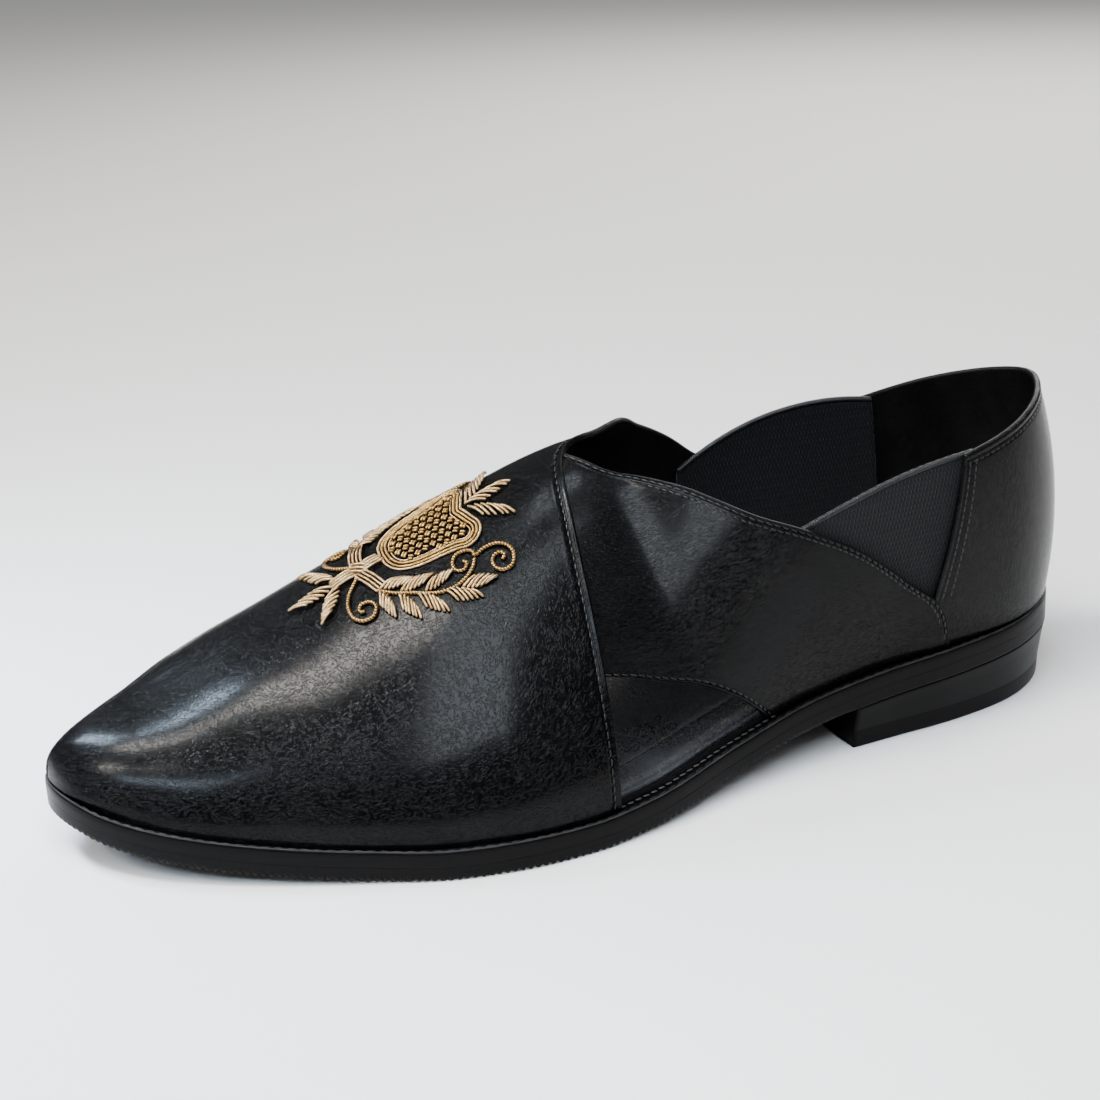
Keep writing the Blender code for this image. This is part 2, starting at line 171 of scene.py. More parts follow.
def outline(lateral, turn, inset):
    # x and y on the sole's outline, drawn in square to its edge
    low, high = np.maximum(turn - reach, 0), np.minimum(turn + reach, 1)
    runX = edgeX(lateral, high) - edgeX(lateral, low)
    runY = (shareAt(high) - shareAt(low)) * shoe["length"]
    way = np.where(lateral, 1.0, -1.0)
    runX = np.where(turn <= 0, way, np.where(turn >= 1, -way, runX))
    runY = np.where((turn <= 0) | (turn >= 1), 0.0, runY)
    size = np.hypot(runX, runY)
    runX, runY = runX / size, runY / size
    x = edgeX(lateral, turn) - way * runY * inset
    y = shareAt(turn) * shoe["length"] + way * runX * inset
    return x, y


def insetOfLast(turn):
    return lastInset - (lastInset - heelInset) * ease(shareAt(turn), 0.74, 0.97)


def lastPoint(turn, girth):
    turn, girth = np.broadcast_arrays(np.asarray(turn, float), np.asarray(girth, float))
    share = shareAt(turn)
    lateral = girth <= 0.5
    t = np.where(lateral, 2 * girth, 2 * (1 - girth))
    footX, footY = outline(lateral, turn, insetOfLast(turn))
    footZ = underside(footY) + soleThickness - shoe["seatTrim"]
    ridgeX = read(ridgeCurve, turn) * shoe["ball"]
    ridgeY = lastInset + share * (shoe["length"] - 2 * lastInset)
    ridgeZ = read(heightCurve, turn) * shoe["instep"]
    half, rise = footX - ridgeX, ridgeZ - footZ
    a, b, c, d = (1 - t) ** 3, 3 * t * (1 - t) ** 2, 3 * t * t * (1 - t), t ** 3
    sideX, topX = footX + half * read(swellCurve, turn), ridgeX + half * read(topPull, turn)
    x = footX * a + sideX * b + topX * c + ridgeX * d
    y = footY * (a + b) + ridgeY * (c + d)
    z = footZ * a + (footZ + rise * read(sidePull, turn)) * b + ridgeZ * (c + d)
    up = (z - footZ) / (shoe["collar"] - footZ)
    y = y + ease(share, 0.72, 1.0) * shoe["heelBulge"] * (2.9 * up * (1 - up) - 0.65 * up * up)
    return np.stack((x, y, z), axis=-1)


def middleOf():
    turns = np.linspace(0, 1, 401)
    right = outline(True, turns, 0.0)[0].max()
    left = outline(False, turns, 0.0)[0].min()
    back = lastPoint(np.ones(401), turns / 2)[:, 1].max() + shoe["leather"]
    return np.array(((left + right) / 2, max(back, shoe["length"]) / 2, 0.0))


origin = middleOf()


def unit(vectors):
    return vectors / np.maximum(np.linalg.norm(vectors, axis=-1, keepdims=True), 1e-12)


def normalAt(turn, girth):
    turn, girth = np.broadcast_arrays(np.asarray(turn, float), np.asarray(girth, float))
    t = np.clip(turn, 0.012, 0.988)
    g = np.clip(girth, reach, 1 - reach)
    across = lastPoint(t + reach, girth) - lastPoint(t - reach, girth)
    along = lastPoint(t, g + reach) - lastPoint(t, g - reach)
    normal = np.cross(across, along)
    normal[..., 0] = np.where((turn <= 0) | (turn >= 1), 0.0, normal[..., 0])
    return unit(normal)


def onLast(turn, girth, offset):
    return lastPoint(turn, girth) + normalAt(turn, girth) * np.asarray(offset)[..., None] - origin


def girthAt(lateral, turn, height):
    # girth where one side of the last reaches a height
    turn, height = np.broadcast_arrays(np.asarray(turn, float), np.asarray(height, float))
    low, high = np.zeros(turn.shape), np.full(turn.shape, 0.5)
    for _ in range(22):
        half = (low + high) / 2
        under = lastPoint(turn, np.where(lateral, half, 1 - half))[..., 2] < height
        low, high = np.where(under, half, low), np.where(under, high, half)
    return np.where(lateral, low, 1 - low)


def traceEdge(points, t):
    # smooth curve of turn and girth through a panel edge's points
    path = np.array([(float(turnAt(along)), girth) for along, girth in points])
    spans = np.linalg.norm(np.diff(path, axis=0), axis=1)
    lengths = np.concatenate(([0], np.cumsum(spans)))
    want = np.asarray(t) * lengths[-1]
    i = np.clip(np.searchsorted(lengths[1:], want), 0, len(path) - 2)
    u = ((want - lengths[i]) / spans[i])[..., None]
    before, after = path[np.maximum(i - 1, 0)], path[np.minimum(i + 2, len(path) - 1)]
    spanBefore = np.where(i > 0, spans[np.maximum(i - 1, 0)], 0)
    spanAfter = np.where(i + 1 < len(spans), spans[np.minimum(i + 1, len(spans) - 1)], 0)
    leave = (path[i + 1] - before) / (spans[i] + spanBefore)[..., None] * spans[i][..., None]
    enter = (after - path[i]) / (spans[i] + spanAfter)[..., None] * spans[i][..., None]
    a = path[i] * (1 + 2 * u) * (1 - u) ** 2 + path[i + 1] * u * u * (3 - 2 * u)
    return a + leave * u * (1 - u) ** 2 - enter * u * u * (1 - u)


print("last ready")

# Mesh helpers: each piece starts as a grid or a ball and is moved into shape.


def addGrid(mesh, spots, coords, weld=True):
    # a grid of rows by columns, carried to an array of spots
    rows, columns = spots.shape[0] - 1, spots.shape[1] - 1
    made = bmesh.ops.create_grid(mesh, x_segments=columns, y_segments=rows, size=0.5)["verts"]
    layer = mesh.loops.layers.uv.active or mesh.loops.layers.uv.new("UVMap")
    flat, uv = spots.reshape(-1, 3), coords.reshape(-1, 2)
    place = {}
    for vert in made:
        i, j = round((vert.co.y + 0.5) * rows), round((vert.co.x + 0.5) * columns)
        place[vert] = i * (columns + 1) + j
        vert.co = flat[i * (columns + 1) + j]
    faces = {face for vert in made for face in vert.link_faces}
    for face in faces:
        face.smooth = True
        for loop in face.loops:
            loop[layer].uv = uv[place[loop.vert]]
    if weld:
        bmesh.ops.remove_doubles(mesh, verts=made, dist=weldReach)


def lengthsOf(path):
    return np.concatenate(([0], np.cumsum(np.linalg.norm(np.diff(path, axis=0), axis=1))))


def addTube(mesh, path, ups, radius, around=8, flat=1.0, closed=False):
    # a wire along a path; ups point away from what it lies on
    tangents = np.gradient(path, axis=0)
    if closed:
        tangents[0] = tangents[-1] = path[1] - path[-2]
    tangents = unit(tangents)
    sides = unit(np.cross(tangents, ups))
    ups = np.cross(sides, tangents)
    run = lengthsOf(path)
    radii = np.broadcast_to(np.asarray(radius, float), run.shape).copy()
    if not closed:
        near = np.minimum(run, run[-1] - run) / np.maximum(radii, 1e-6)
        radii *= np.sqrt(np.clip(1 - (1 - np.clip(near, 0, 1)) ** 2, 0, 1))
    angles = np.linspace(0, 2 * np.pi, around + 1)
    away = sides[:, None] * np.cos(angles)[:, None] + ups[:, None] * np.sin(angles)[:, None] * flat
    spots = path[:, None] + away * radii[:, None, None]
    coords = np.stack(np.broadcast_arrays(angles[None] / (2 * np.pi), run[:, None]), axis=-1)
    addGrid(mesh, spots, coords)


def upright(path):
    return np.tile((0.0, 0.0, 1.0), (len(path), 1))


def evenly(path, spacing):
    run = lengthsOf(path)
    count = max(3, int(round(run[-1] / spacing)) + 1)
    want = np.linspace(0, run[-1], count)
    return np.stack([np.interp(want, run, path[:, k]) for k in range(path.shape[1])], axis=1)


def smoothPath(points, spacing):
    # a curve through given points, then even steps along it
    points = np.array(points, float)
    run = lengthsOf(points)
    slopes = np.gradient(points, run, axis=0)
    want = np.linspace(0, run[-1], max(3, int(round(run[-1] / spacing)) + 1))
    i = np.clip(np.searchsorted(run[1:], want), 0, len(points) - 2)
    width = (run[i + 1] - run[i])[:, None]
    t = ((want - run[i]) / (run[i + 1] - run[i]))[:, None]
    a = points[i] * (1 + 2 * t) * (1 - t) ** 2 + points[i + 1] * t * t * (3 - 2 * t)
    return a + (slopes[i] * t * (1 - t) ** 2 - slopes[i + 1] * t * t * (1 - t)) * width


stitchRise = 0.15  # share of a stitch's height that its middle stands over the leather


def addStitches(mesh, path, ups, spec, slant=0.0):
    # one long bead for each stitch
    tangents = unit(np.gradient(path, axis=0))
    run = lengthsOf(path)
    count = int(run[-1] / spec["pitch"])
    for k in range(count):
        at = (k + 0.5) * run[-1] / count
        spot, tangent, up = (
            Vector([np.interp(at, run, row[:, c]) for c in range(3)]) for row in (path, tangents, ups))
        side = tangent.cross(up).normalized()
        up = side.cross(tangent).normalized()
        tangent = (tangent + side * slant).normalized()
        side = tangent.cross(up)
        frameOf = Matrix.Identity(4)
        for c, (axis, size) in enumerate(((tangent, spec["long"]), (side, spec["wide"]), (up, spec["high"]))):
            for r in range(3):
                frameOf[r][c] = axis[r] * size / 2
        frameOf.translation = spot + up * spec["high"] * stitchRise
        made = bmesh.ops.create_uvsphere(mesh, u_segments=6, v_segments=6, radius=1.0,
                                         matrix=frameOf @ Matrix.Rotation(math.pi / 2, 4, "Y"))
        for vert in made["verts"]:
            for face in vert.link_faces:
                face.smooth = True


def finishPiece(mesh, name, looks, nodes=()):
    bmesh.ops.recalc_face_normals(mesh, faces=mesh.faces)
    data = bpy.data.meshes.new(name)
    mesh.to_mesh(data)
    mesh.free()
    for look in looks:
        data.materials.append(look)
    made = bpy.data.objects.new(name, data)
    bpy.context.scene.collection.objects.link(made)
    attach(made, "root")
    if nodes:
        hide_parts(*nodes)
    print(name, sum(len(face.vertices) - 2 for face in data.polygons), "triangles")


# Shader helpers: sums on sockets, and one call for any other node.


class Signal:
    def __init__(self, tree, socket):
        self.tree = tree
        self.socket = socket

    def sum(self, kind, *others, first=None):
        node = self.tree.nodes.new("ShaderNodeMath")
        node.operation = kind
        for k, value in enumerate((self, *others) if first is None else (first, self)):
            feed(self.tree, node.inputs[k], value)
        return Signal(self.tree, node.outputs[0])

    def __add__(self, other):
        return self.sum("ADD", other)

    def __sub__(self, other):
        return self.sum("SUBTRACT", other)

    def __rsub__(self, other):
        return self.sum("SUBTRACT", first=other)

    def __mul__(self, other):
        return self.sum("MULTIPLY", other)

    __radd__ = __add__
    __rmul__ = __mul__

    def __abs__(self):
        return self.sum("ABSOLUTE")

    def between(self, low, high):
        node = self.tree.nodes.new("ShaderNodeMapRange")
        node.interpolation_type = "SMOOTHSTEP"
        feed(self.tree, node.inputs["Value"], self)
        node.inputs["From Min"].default_value = low
        node.inputs["From Max"].default_value = high
        return Signal(self.tree, node.outputs[0])


def feed(tree, entry, value):
    if isinstance(value, Signal):
        tree.links.new(value.socket, entry)
    else:
        entry.default_value = value


class Look:
    def __init__(self, name, **fixed):
        self.material = bpy.data.materials.new(name)
        self.material.use_nodes = True
        self.tree = self.material.node_tree
        self.shader = self.tree.nodes["Principled BSDF"]
        self.set(**fixed)

    def set(self, **values):
        for key, value in values.items():
            feed(self.tree, self.shader.inputs[key.replace("_", " ")], value)

    def make(self, kind, out=0, **inputs):
        node = self.tree.nodes.new(kind)
        for key, value in inputs.items():
            feed(self.tree, node.inputs[key.replace("_", " ")], value)
        return Signal(self.tree, node.outputs[out])

    def place(self, uv=False):
        return self.make("ShaderNodeTexCoord", out=2 if uv else 3)

    def uvParts(self):
        split = self.tree.nodes.new("ShaderNodeSeparateXYZ")
        self.tree.links.new(self.place(uv=True).socket, split.inputs[0])
        return Signal(self.tree, split.outputs[0]), Signal(self.tree, split.outputs[1])

    def scaled(self, vector, size):
        return self.make("ShaderNodeMapping", Vector=vector, Scale=size)

    def noise(self, vector, scale, detail=2.0, rough=0.5, bend=0.0):
        return self.make("ShaderNodeTexNoise", Vector=vector, Scale=scale, Detail=detail, Roughness=rough,
                         Distortion=bend)

    def mix(self, factor, a, b):
        node = self.tree.nodes.new("ShaderNodeMix")
        node.data_type = "RGBA"
        for index, value in ((0, factor), (6, a), (7, b)):
            feed(self.tree, node.inputs[index], value)
        return Signal(self.tree, node.outputs[2])

    def bump(self, height, distance, strength=1.0, under=None):
        extra = {"Normal": under} if under else {}
        return self.make("ShaderNodeBump", Height=height, Distance=distance, Strength=strength, **extra)


def shade(r, g, b):
    return (r, g, b, 1.0)


def leatherLook(name, tone, rough, grain, shine=0.085):
    # embossed hide: fine worm-like marks, a softer mottle and rubbed places
    look = Look(name, Specular_IOR_Level=shine, Coat_Roughness=0.13, Coat_IOR=1.30)
    spot = look.place()
    flow = look.scaled(look.place(uv=True), (1.0, 0.6, 1.0))
    worms = abs(look.noise(flow, 980.0, 1.0, 0.5, 1.4) - 0.5)
    cut = 1.0 - worms.between(0.0, 0.08)
    mottle = look.noise(spot, 60.0, 4.0, 0.55)
    pores = look.noise(spot, 2600.0, 2.0, 0.6)
    wave = look.noise(spot, 130.0, 2.0, 0.5)
    dark, pale = shade(*tone), shade(*(c * 1.8 + 0.0006 for c in tone))
    look.set(Base_Color=look.mix(mottle.between(0.35, 0.75), dark, pale))
    look.set(Roughness=mottle * 0.05 + cut * 0.06 + (rough - 0.05))
    look.set(Coat_Weight=0.04 + mottle * 0.03)
    first = look.bump(wave, 0.0001, 0.6)
    second = look.bump(cut * -1.0 + pores * 0.12, grain, 1.0, under=first)
    look.set(Normal=second)
    return look.material


leather = leatherLook("blackLeather", (0.0008, 0.0008, 0.0009), 0.20, 0.00005)
lining = leatherLook("liningLeather", (0.0022, 0.0020, 0.0020), 0.42, 0.00004)
# painted sheen: the black insole leather takes a pale bluish tone for its sheen and the light inside the
# cut-outs
sockPaintedSheen = leatherLook("sockPaintedSheen", (0.0135, 0.0145, 0.0170), 0.30, 0.00010, 0.5)


def rubberLook(name, tone, rough):
    # moulded sole: long fine scratches and a dull film
    look = Look(name, Specular_IOR_Level=0.065)
    spot = look.place()
    lines = look.noise(look.scaled(spot, (1.0, 0.05, 1.0)), 1500.0, 3.0, 0.6)
    scuffs = look.noise(look.scaled(spot, (1.0, 0.12, 1.0)), 420.0, 3.0, 0.6).between(0.60, 0.78)
    film = look.noise(spot, 45.0, 4.0, 0.6)
    look.set(Base_Color=look.mix(scuffs * 0.6 + film * 0.4, shade(*tone), shade(*(c * 2.6 for c in tone))))
    look.set(Roughness=film * 0.22 + scuffs * 0.14 + (rough - 0.1))
    look.set(Normal=look.bump(lines * 0.5 + scuffs * 0.6, 0.00004, 0.8))
    return look.material


rubber = rubberLook("soleRubber", (0.0016, 0.0014, 0.0014), 0.34)
# burnished edge with painted highlight: a far paler tone for the bright line the bead catches
burnishAndHighlight = rubberLook("edgeBurnishAndHighlight", (0.020, 0.020, 0.021), 0.30)


def elasticLook():
    # knitted elastic: rows of short slots between ribs, sunk by the bump and painted near-black as shade
    look = Look("blackElastic", Specular_IOR_Level=0.15, Sheen_Weight=0.06, Sheen_Roughness=0.4)
    u, v = look.uvParts()
    row = v * (1 / 0.00155)
    shift = row.sum("FLOOR").sum("MODULO", 2.0) * 0.5
    across = (u * (1 / 0.0012) + shift).sum("FRACT") - 0.5
    along = row.sum("FRACT") - 0.5
    shadedSlot = (1.0 - abs(across).between(0.13, 0.24)) * (1.0 - abs(along).between(0.20, 0.34))
    rib = (u * (2 * math.pi / 0.0004)).sum("SINE") * 0.5 + 0.5
    fuzz = look.noise(look.place(), 1800.0, 2.0, 0.6)
    # painted shade: the slots go near-black, as if in shadow
    look.set(Base_Color=look.mix(shadedSlot, shade(0.0052, 0.0056, 0.0066), shade(0.0003, 0.0003, 0.0003)))
    look.set(Roughness=0.62 + fuzz * 0.2)
    look.set(Normal=look.bump(shadedSlot * -1.0 + rib * 0.2 + fuzz * 0.2, 0.00022, 1.0))
    return look.material


elastic = elasticLook()


def threadLook(name, tone, rough, pitch):
    # waxed twisted thread
    look = Look(name, Specular_IOR_Level=0.35)
    fuzz = look.noise(look.place(), 2600.0, 2.0, 0.6)
    look.set(Base_Color=look.mix(fuzz, shade(*tone), shade(*(c * 1.8 for c in tone))))
    look.set(Roughness=rough + fuzz * 0.15)
    look.set(Normal=look.bump(look.noise(look.place(), 1 / pitch, 1.0, 0.5), 0.0001, 0.7))
    return look.material


thread = threadLook("waxedThread", (0.0035, 0.0035, 0.0040), 0.28, 0.0005)
# painted highlight: a paler copy of the thread for stitches that catch the light
paintedLitThread = threadLook("paintedLitThreadLook", (0.022, 0.022, 0.024), 0.33, 0.0005)


def wireLook(name, pale, deep, rough, pitch, cut, strong):
    # coiled metal wire, wound in close rings, with painted shade in the grooves between them
    look = Look(name, Specular_IOR_Level=0.5, Metallic=0.97)
    u, v = look.uvParts()
    ring = ((v * (1 / pitch) + u) * (2 * math.pi)).sum("SINE") * 0.5 + 0.5
    tone = look.noise(look.place(), 420.0, 3.0, 0.6)
    rubbed = look.noise(look.place(), 90.0, 2.0, 0.5)
    colour = look.mix(tone.between(0.25, 0.75), shade(*deep), shade(*pale))
    # painted shade between the rings, its strength set by cut
    dark = shade(*(c * 0.35 for c in deep))
    look.set(Base_Color=look.mix((1.0 - ring) * cut, colour, dark))
    look.set(Roughness=rough + rubbed * 0.14 + (1.0 - ring) * 0.08)
    look.set(Normal=look.bump(ring, 0.00009, strong))
    return look.material


champagne = wireLook("champagneWire", (0.66, 0.46, 0.24), (0.31, 0.18, 0.075), 0.14, 0.00032, 0.50, 0.50)
antique = wireLook("antiqueWire", (0.46, 0.27, 0.095), (0.20, 0.11, 0.035), 0.18, 0.00085, 0.9, 1.0)
goldWire = wireLook("goldWire", (0.62, 0.37, 0.12), (0.28, 0.15, 0.04), 0.16, 0.00045, 0.6, 0.7)
print("materials ready")

# Sole, heel and insole: rings of the outline, from the underside's middle to the top's.


def layerSpots(first, rows, spacing, breast=0):
    # rows hold an inset from the outline, a height over the underside and a share of the way to the middle
    fine = np.linspace(first, 1, 2000)
    both = []
    for lateral in (True, False):
        x, y = outline(lateral, fine, 0.0)
        both.append(lengthsOf(np.stack((x, y), axis=1)))
    run = (both[0] + both[1]) / 2
    count = int(run[-1] / spacing)
    turns = np.interp(np.linspace(0, run[-1], count + 1), run, fine)
    back = turns[::-1] if breast else turns[-2::-1]
    turn = np.concatenate((turns, back))
    lateral = np.concatenate((np.ones(len(turns), bool), np.zeros(len(back), bool)))
    baseX, baseY = outline(lateral, turn, 0.0)
    if breast:
        step = np.linspace(0, 1, breast + 1)[1:]
    base = np.stack((baseX, baseY), axis=1)
    perimeter = lengthsOf(base)
    spots, coords, depth = [], [], 0.0
    before = None
    for inset, height, inward in rows:
        x, y = outline(lateral, turn, inset(turn) if callable(inset) else inset)
        other = outline(~lateral, turn, inset(turn) if callable(inset) else inset)[0]
        x = x + ((x + other) / 2 - x) * inward
        z = height(y, perimeter) if callable(height) else underside(y) + height
        ring = np.stack((x, y, z), axis=1)
        u = perimeter
        if breast:
            closing = ring[-1] + (ring[0] - ring[-1]) * step[:, None]
            ring = np.concatenate((ring, closing))
            u = np.concatenate((u, perimeter[-1] + step * 0.06))
        if before is not None:
            depth += float(np.median(np.linalg.norm(ring - before, axis=1)))
        before = ring
        spots.append(ring - origin)
        coords.append(np.stack((u, np.full(len(u), depth)), axis=1))
    return np.array(spots), np.array(coords)


tooth = {"pitch": 0.0021, "deep": 0.0010, "end": 0.205}


def toothed(height, share):
    def z(y, run):
        phase = (run / tooth["pitch"]) % 1.0
        notch = np.clip(np.abs(phase - 0.5) * 4 - 0.6, 0, 1)
        fade = 1 - ease(y, tooth["end"] - 0.012, tooth["end"])
        return underside(y) + height + tooth["deep"] * share * notch * fade
    return z


def beforeHeel(inset):
    # an edge that is square where the heel continues it
    return lambda turn: inset * (1 - ease(shareAt(turn), 0.715, 0.728))


def seam(turn):
    # the joint between the sole's layers, open only in places
    share = shareAt(turn)
    first = ease(share, 0.17, 0.22) * (1 - ease(share, 0.34, 0.40))
    second = ease(share, 0.49, 0.53) * (1 - ease(share, 0.62, 0.67))
    return 0.00003 + 0.00016 * (first + second)


outsoleRows = (
    (0.0160, 0.0004, 1.0), (0.0160, 0.0004, 0.6), (0.0160, 0.0004, 0.25), (0.0160, 0.0003, 0.0),
    (0.0150, toothed(0.0, 1.0), 0.0), (0.0008, toothed(0.0, 1.0), 0.0),
    (beforeHeel(0.0003), toothed(0.0002, 0.95), 0.0), (0.0, toothed(0.0007, 0.6), 0.0), (0.0, 0.0015, 0.0),
    (0.0, 0.0030, 0.0), (0.0, 0.0039, 0.0), (0.0, 0.00403, 0.0), (seam, 0.00408, 0.0),
    (0.0008, 0.0041, 0.0), (0.0100, 0.0041, 0.0), (0.0100, 0.0041, 1.0),
)
mesh = bmesh.new()
addGrid(mesh, *layerSpots(0.0, outsoleRows, 0.00042))
finishPiece(mesh, "outsole_shell", [rubber], ["outsole"])


def uneven(height, size):
    # the welt's hand-worked lip
    def z(y, run):
        wave = np.sin(run * 910) + np.sin(run * 2130 + 1.3) + np.sin(run * 377 + 0.4)
        return underside(y) + height + wave * size / 3
    return z


midsoleRows = (
    (0.0100, 0.0043, 1.0), (0.0100, 0.0043, 0.0), (0.0009, 0.00405, 0.0), (seam, 0.00409, 0.0),
    (0.0, 0.00416, 0.0), (0.0, 0.00430, 0.0), (0.0, 0.0060, 0.0), (0.00002, 0.0076, 0.0),
    (0.00022, uneven(0.00812, 0.00006), 0.0), (0.00045, uneven(0.00842, 0.00008), 0.0),
    (0.00080, uneven(0.00848, 0.00008), 0.0), (0.00115, uneven(0.00836, 0.00006), 0.0),
    (0.00150, 0.00805, 0.0), (0.00190, 0.0078, 0.0),
    (0.00230, 0.00785, 0.0), (0.00300, 0.0081, 0.0), (0.0042, 0.0083, 0.0), (0.0100, 0.0083, 0.0),
    (0.0100, 0.0083, 0.5), (0.0100, 0.0083, 1.0),
)
mesh = bmesh.new()
addGrid(mesh, *layerSpots(0.0, midsoleRows, 0.0009))
finishPiece(mesh, "midsole_shell", [rubber], ["midsole"])


def stand(height):
    return lambda y, run: np.full(np.shape(y), height)


def between(share, drop):
    return lambda y, run: underside(y) * share - drop


heelRows = (
    (0.0100, stand(0.0), 1.0), (0.0100, stand(0.0), 0.5), (0.0100, stand(0.0), 0.0),
    (0.0031, stand(0.0), 0.0), (0.0026, stand(0.00008), 0.0), (0.0023, stand(0.0003), 0.0),
    (0.0022, stand(0.0007), 0.0), (0.0019, stand(0.0052), 0.0), (0.00197, stand(0.0054), 0.0),
    (0.0019, stand(0.0056), 0.0), (0.0009, between(0.72, 0.0), 0.0), (0.0002, between(1.0, 0.0011), 0.0),
    (0.0000, between(1.0, 0.0004), 0.0), (0.0001, between(1.0, 0.0001), 0.0),
    (0.0020, between(1.0, -0.0001), 0.0), (0.0100, between(1.0, -0.0001), 0.0),
    (0.0100, between(1.0, -0.0001), 1.0),
)
mesh = bmesh.new()
breastTurn = float(turnAt(1 - shoe["heelBreast"] / shoe["length"]))
addGrid(mesh, *layerSpots(breastTurn, heelRows, 0.0011, breast=40))
finishPiece(mesh, "heel_block", [rubber], ["heel"])

board = soleThickness + shoe["gap"]


def fromSeat(extra):
    return lambda turn: insetOfLast(turn) + shoe["gap"] + extra


insoleRows = tuple((fromSeat(inset), board + rise, inward) for inset, rise, inward in (
    (0.0150, -0.0002, 1.0), (0.0150, -0.0002, 0.0), (0.0005, -0.0002, 0.0), (0.0001, 0.0002, 0.0),
    (0.0, 0.0008, 0.0), (0.0002, 0.0013, 0.0), (0.0007, 0.0016, 0.0), (0.0012, 0.0014, 0.0),
    (0.0016, 0.0011, 0.0), (0.0018, 0.0016, 0.0), (0.0022, 0.0019, 0.0), (0.0060, 0.0020, 0.0),
    (0.0110, 0.0020, 0.0), (0.0118, 0.0020, 0.0), (0.0125, 0.0016, 0.0), (0.0132, 0.0020, 0.0),
    (0.0150, 0.0021, 0.0), (0.0150, 0.0021, 0.4), (0.0150, 0.0020, 1.0),
))
# the insole sock's pale tone is painted sheen
mesh = bmesh.new()
addGrid(mesh, *layerSpots(0.0, insoleRows, 0.0012))
finishPiece(mesh, "insole_sock", [sockPaintedSheen], ["insole"])


def ringPath(inset, height, start, stop, spacing=0.001):
    # a run of the outline: lateral from start to stop, then medial back
    turns = np.linspace(start, stop, 700)
    turn = np.concatenate((turns, turns[::-1]))
    lateral = np.arange(1400) < 700
    x, y = outline(lateral, turn, inset(turn) if callable(inset) else inset)
    path = np.stack((x, y, underside(y) + height), axis=1) - origin
    return evenly(path, spacing)


insoleStitch = {"pitch": 0.0030, "long": 0.0022, "wide": 0.0005, "high": 0.0004}
mesh = bmesh.new()
path = ringPath(fromSeat(0.0125), board + 0.0018, 0.08, 0.95)
addStitches(mesh, path, upright(path), insoleStitch)
finishPiece(mesh, "insole_stitches", [thread])

weltStitch = {"pitch": 0.0034, "long": 0.0025, "wide": 0.00055, "high": 0.0004}
mesh = bmesh.new()
path = ringPath(0.00185, 0.0079, 0.0, 1.0)
addStitches(mesh, path, upright(path), weltStitch)
finishPiece(mesh, "welt_stitches", [thread])

# a burnished bead along the welt's lip; its bright line is partly painted highlight in its paler tone
mesh = bmesh.new()
path = ringPath(0.00042, 0.00842, 0.0, 1.0, 0.0007)
ups = upright(path)
wave = 1 + 0.25 * np.sin(lengthsOf(path) * 730) * np.sin(lengthsOf(path) * 191 + 0.8)
addTube(mesh, path, ups, 0.00022 * wave, 6, closed=True)
finishPiece(mesh, "welt_bead", [burnishAndHighlight])


waist = {"start": 0.462, "stop": 0.642}


def waistRun(inset, height):
    # a run of the outline through each cut-out
    for lateral in (True, False):
        turns = np.linspace(float(turnAt(waist["start"])), float(turnAt(waist["stop"])), 300)
        x, y = outline(np.full(300, lateral), turns, inset(turns) if callable(inset) else inset)
        yield evenly(np.stack((x, y, underside(y) + height), axis=1) - origin, 0.0007)


randStitch = {"pitch": 0.0026, "long": 0.0020, "wide": 0.0007, "high": 0.0005}
mesh = bmesh.new()
for path in waistRun(lambda turn: insetOfLast(turn) - 0.0013, 0.0089):
    addTube(mesh, path, upright(path), 0.00105, 12)
finishPiece(mesh, "rand_cord", [leather])
# rand stitches in the thread with painted highlight
mesh = bmesh.new()
for path in waistRun(lambda turn: insetOfLast(turn) - 0.0027, 0.00865):
    addStitches(mesh, path, upright(path), randStitch, slant=0.25)
finishPiece(mesh, "rand_stitches", [paintedLitThread])
print("sole ready")

# Upper: three panels over each other, the vamp on the cross panel on the counter.


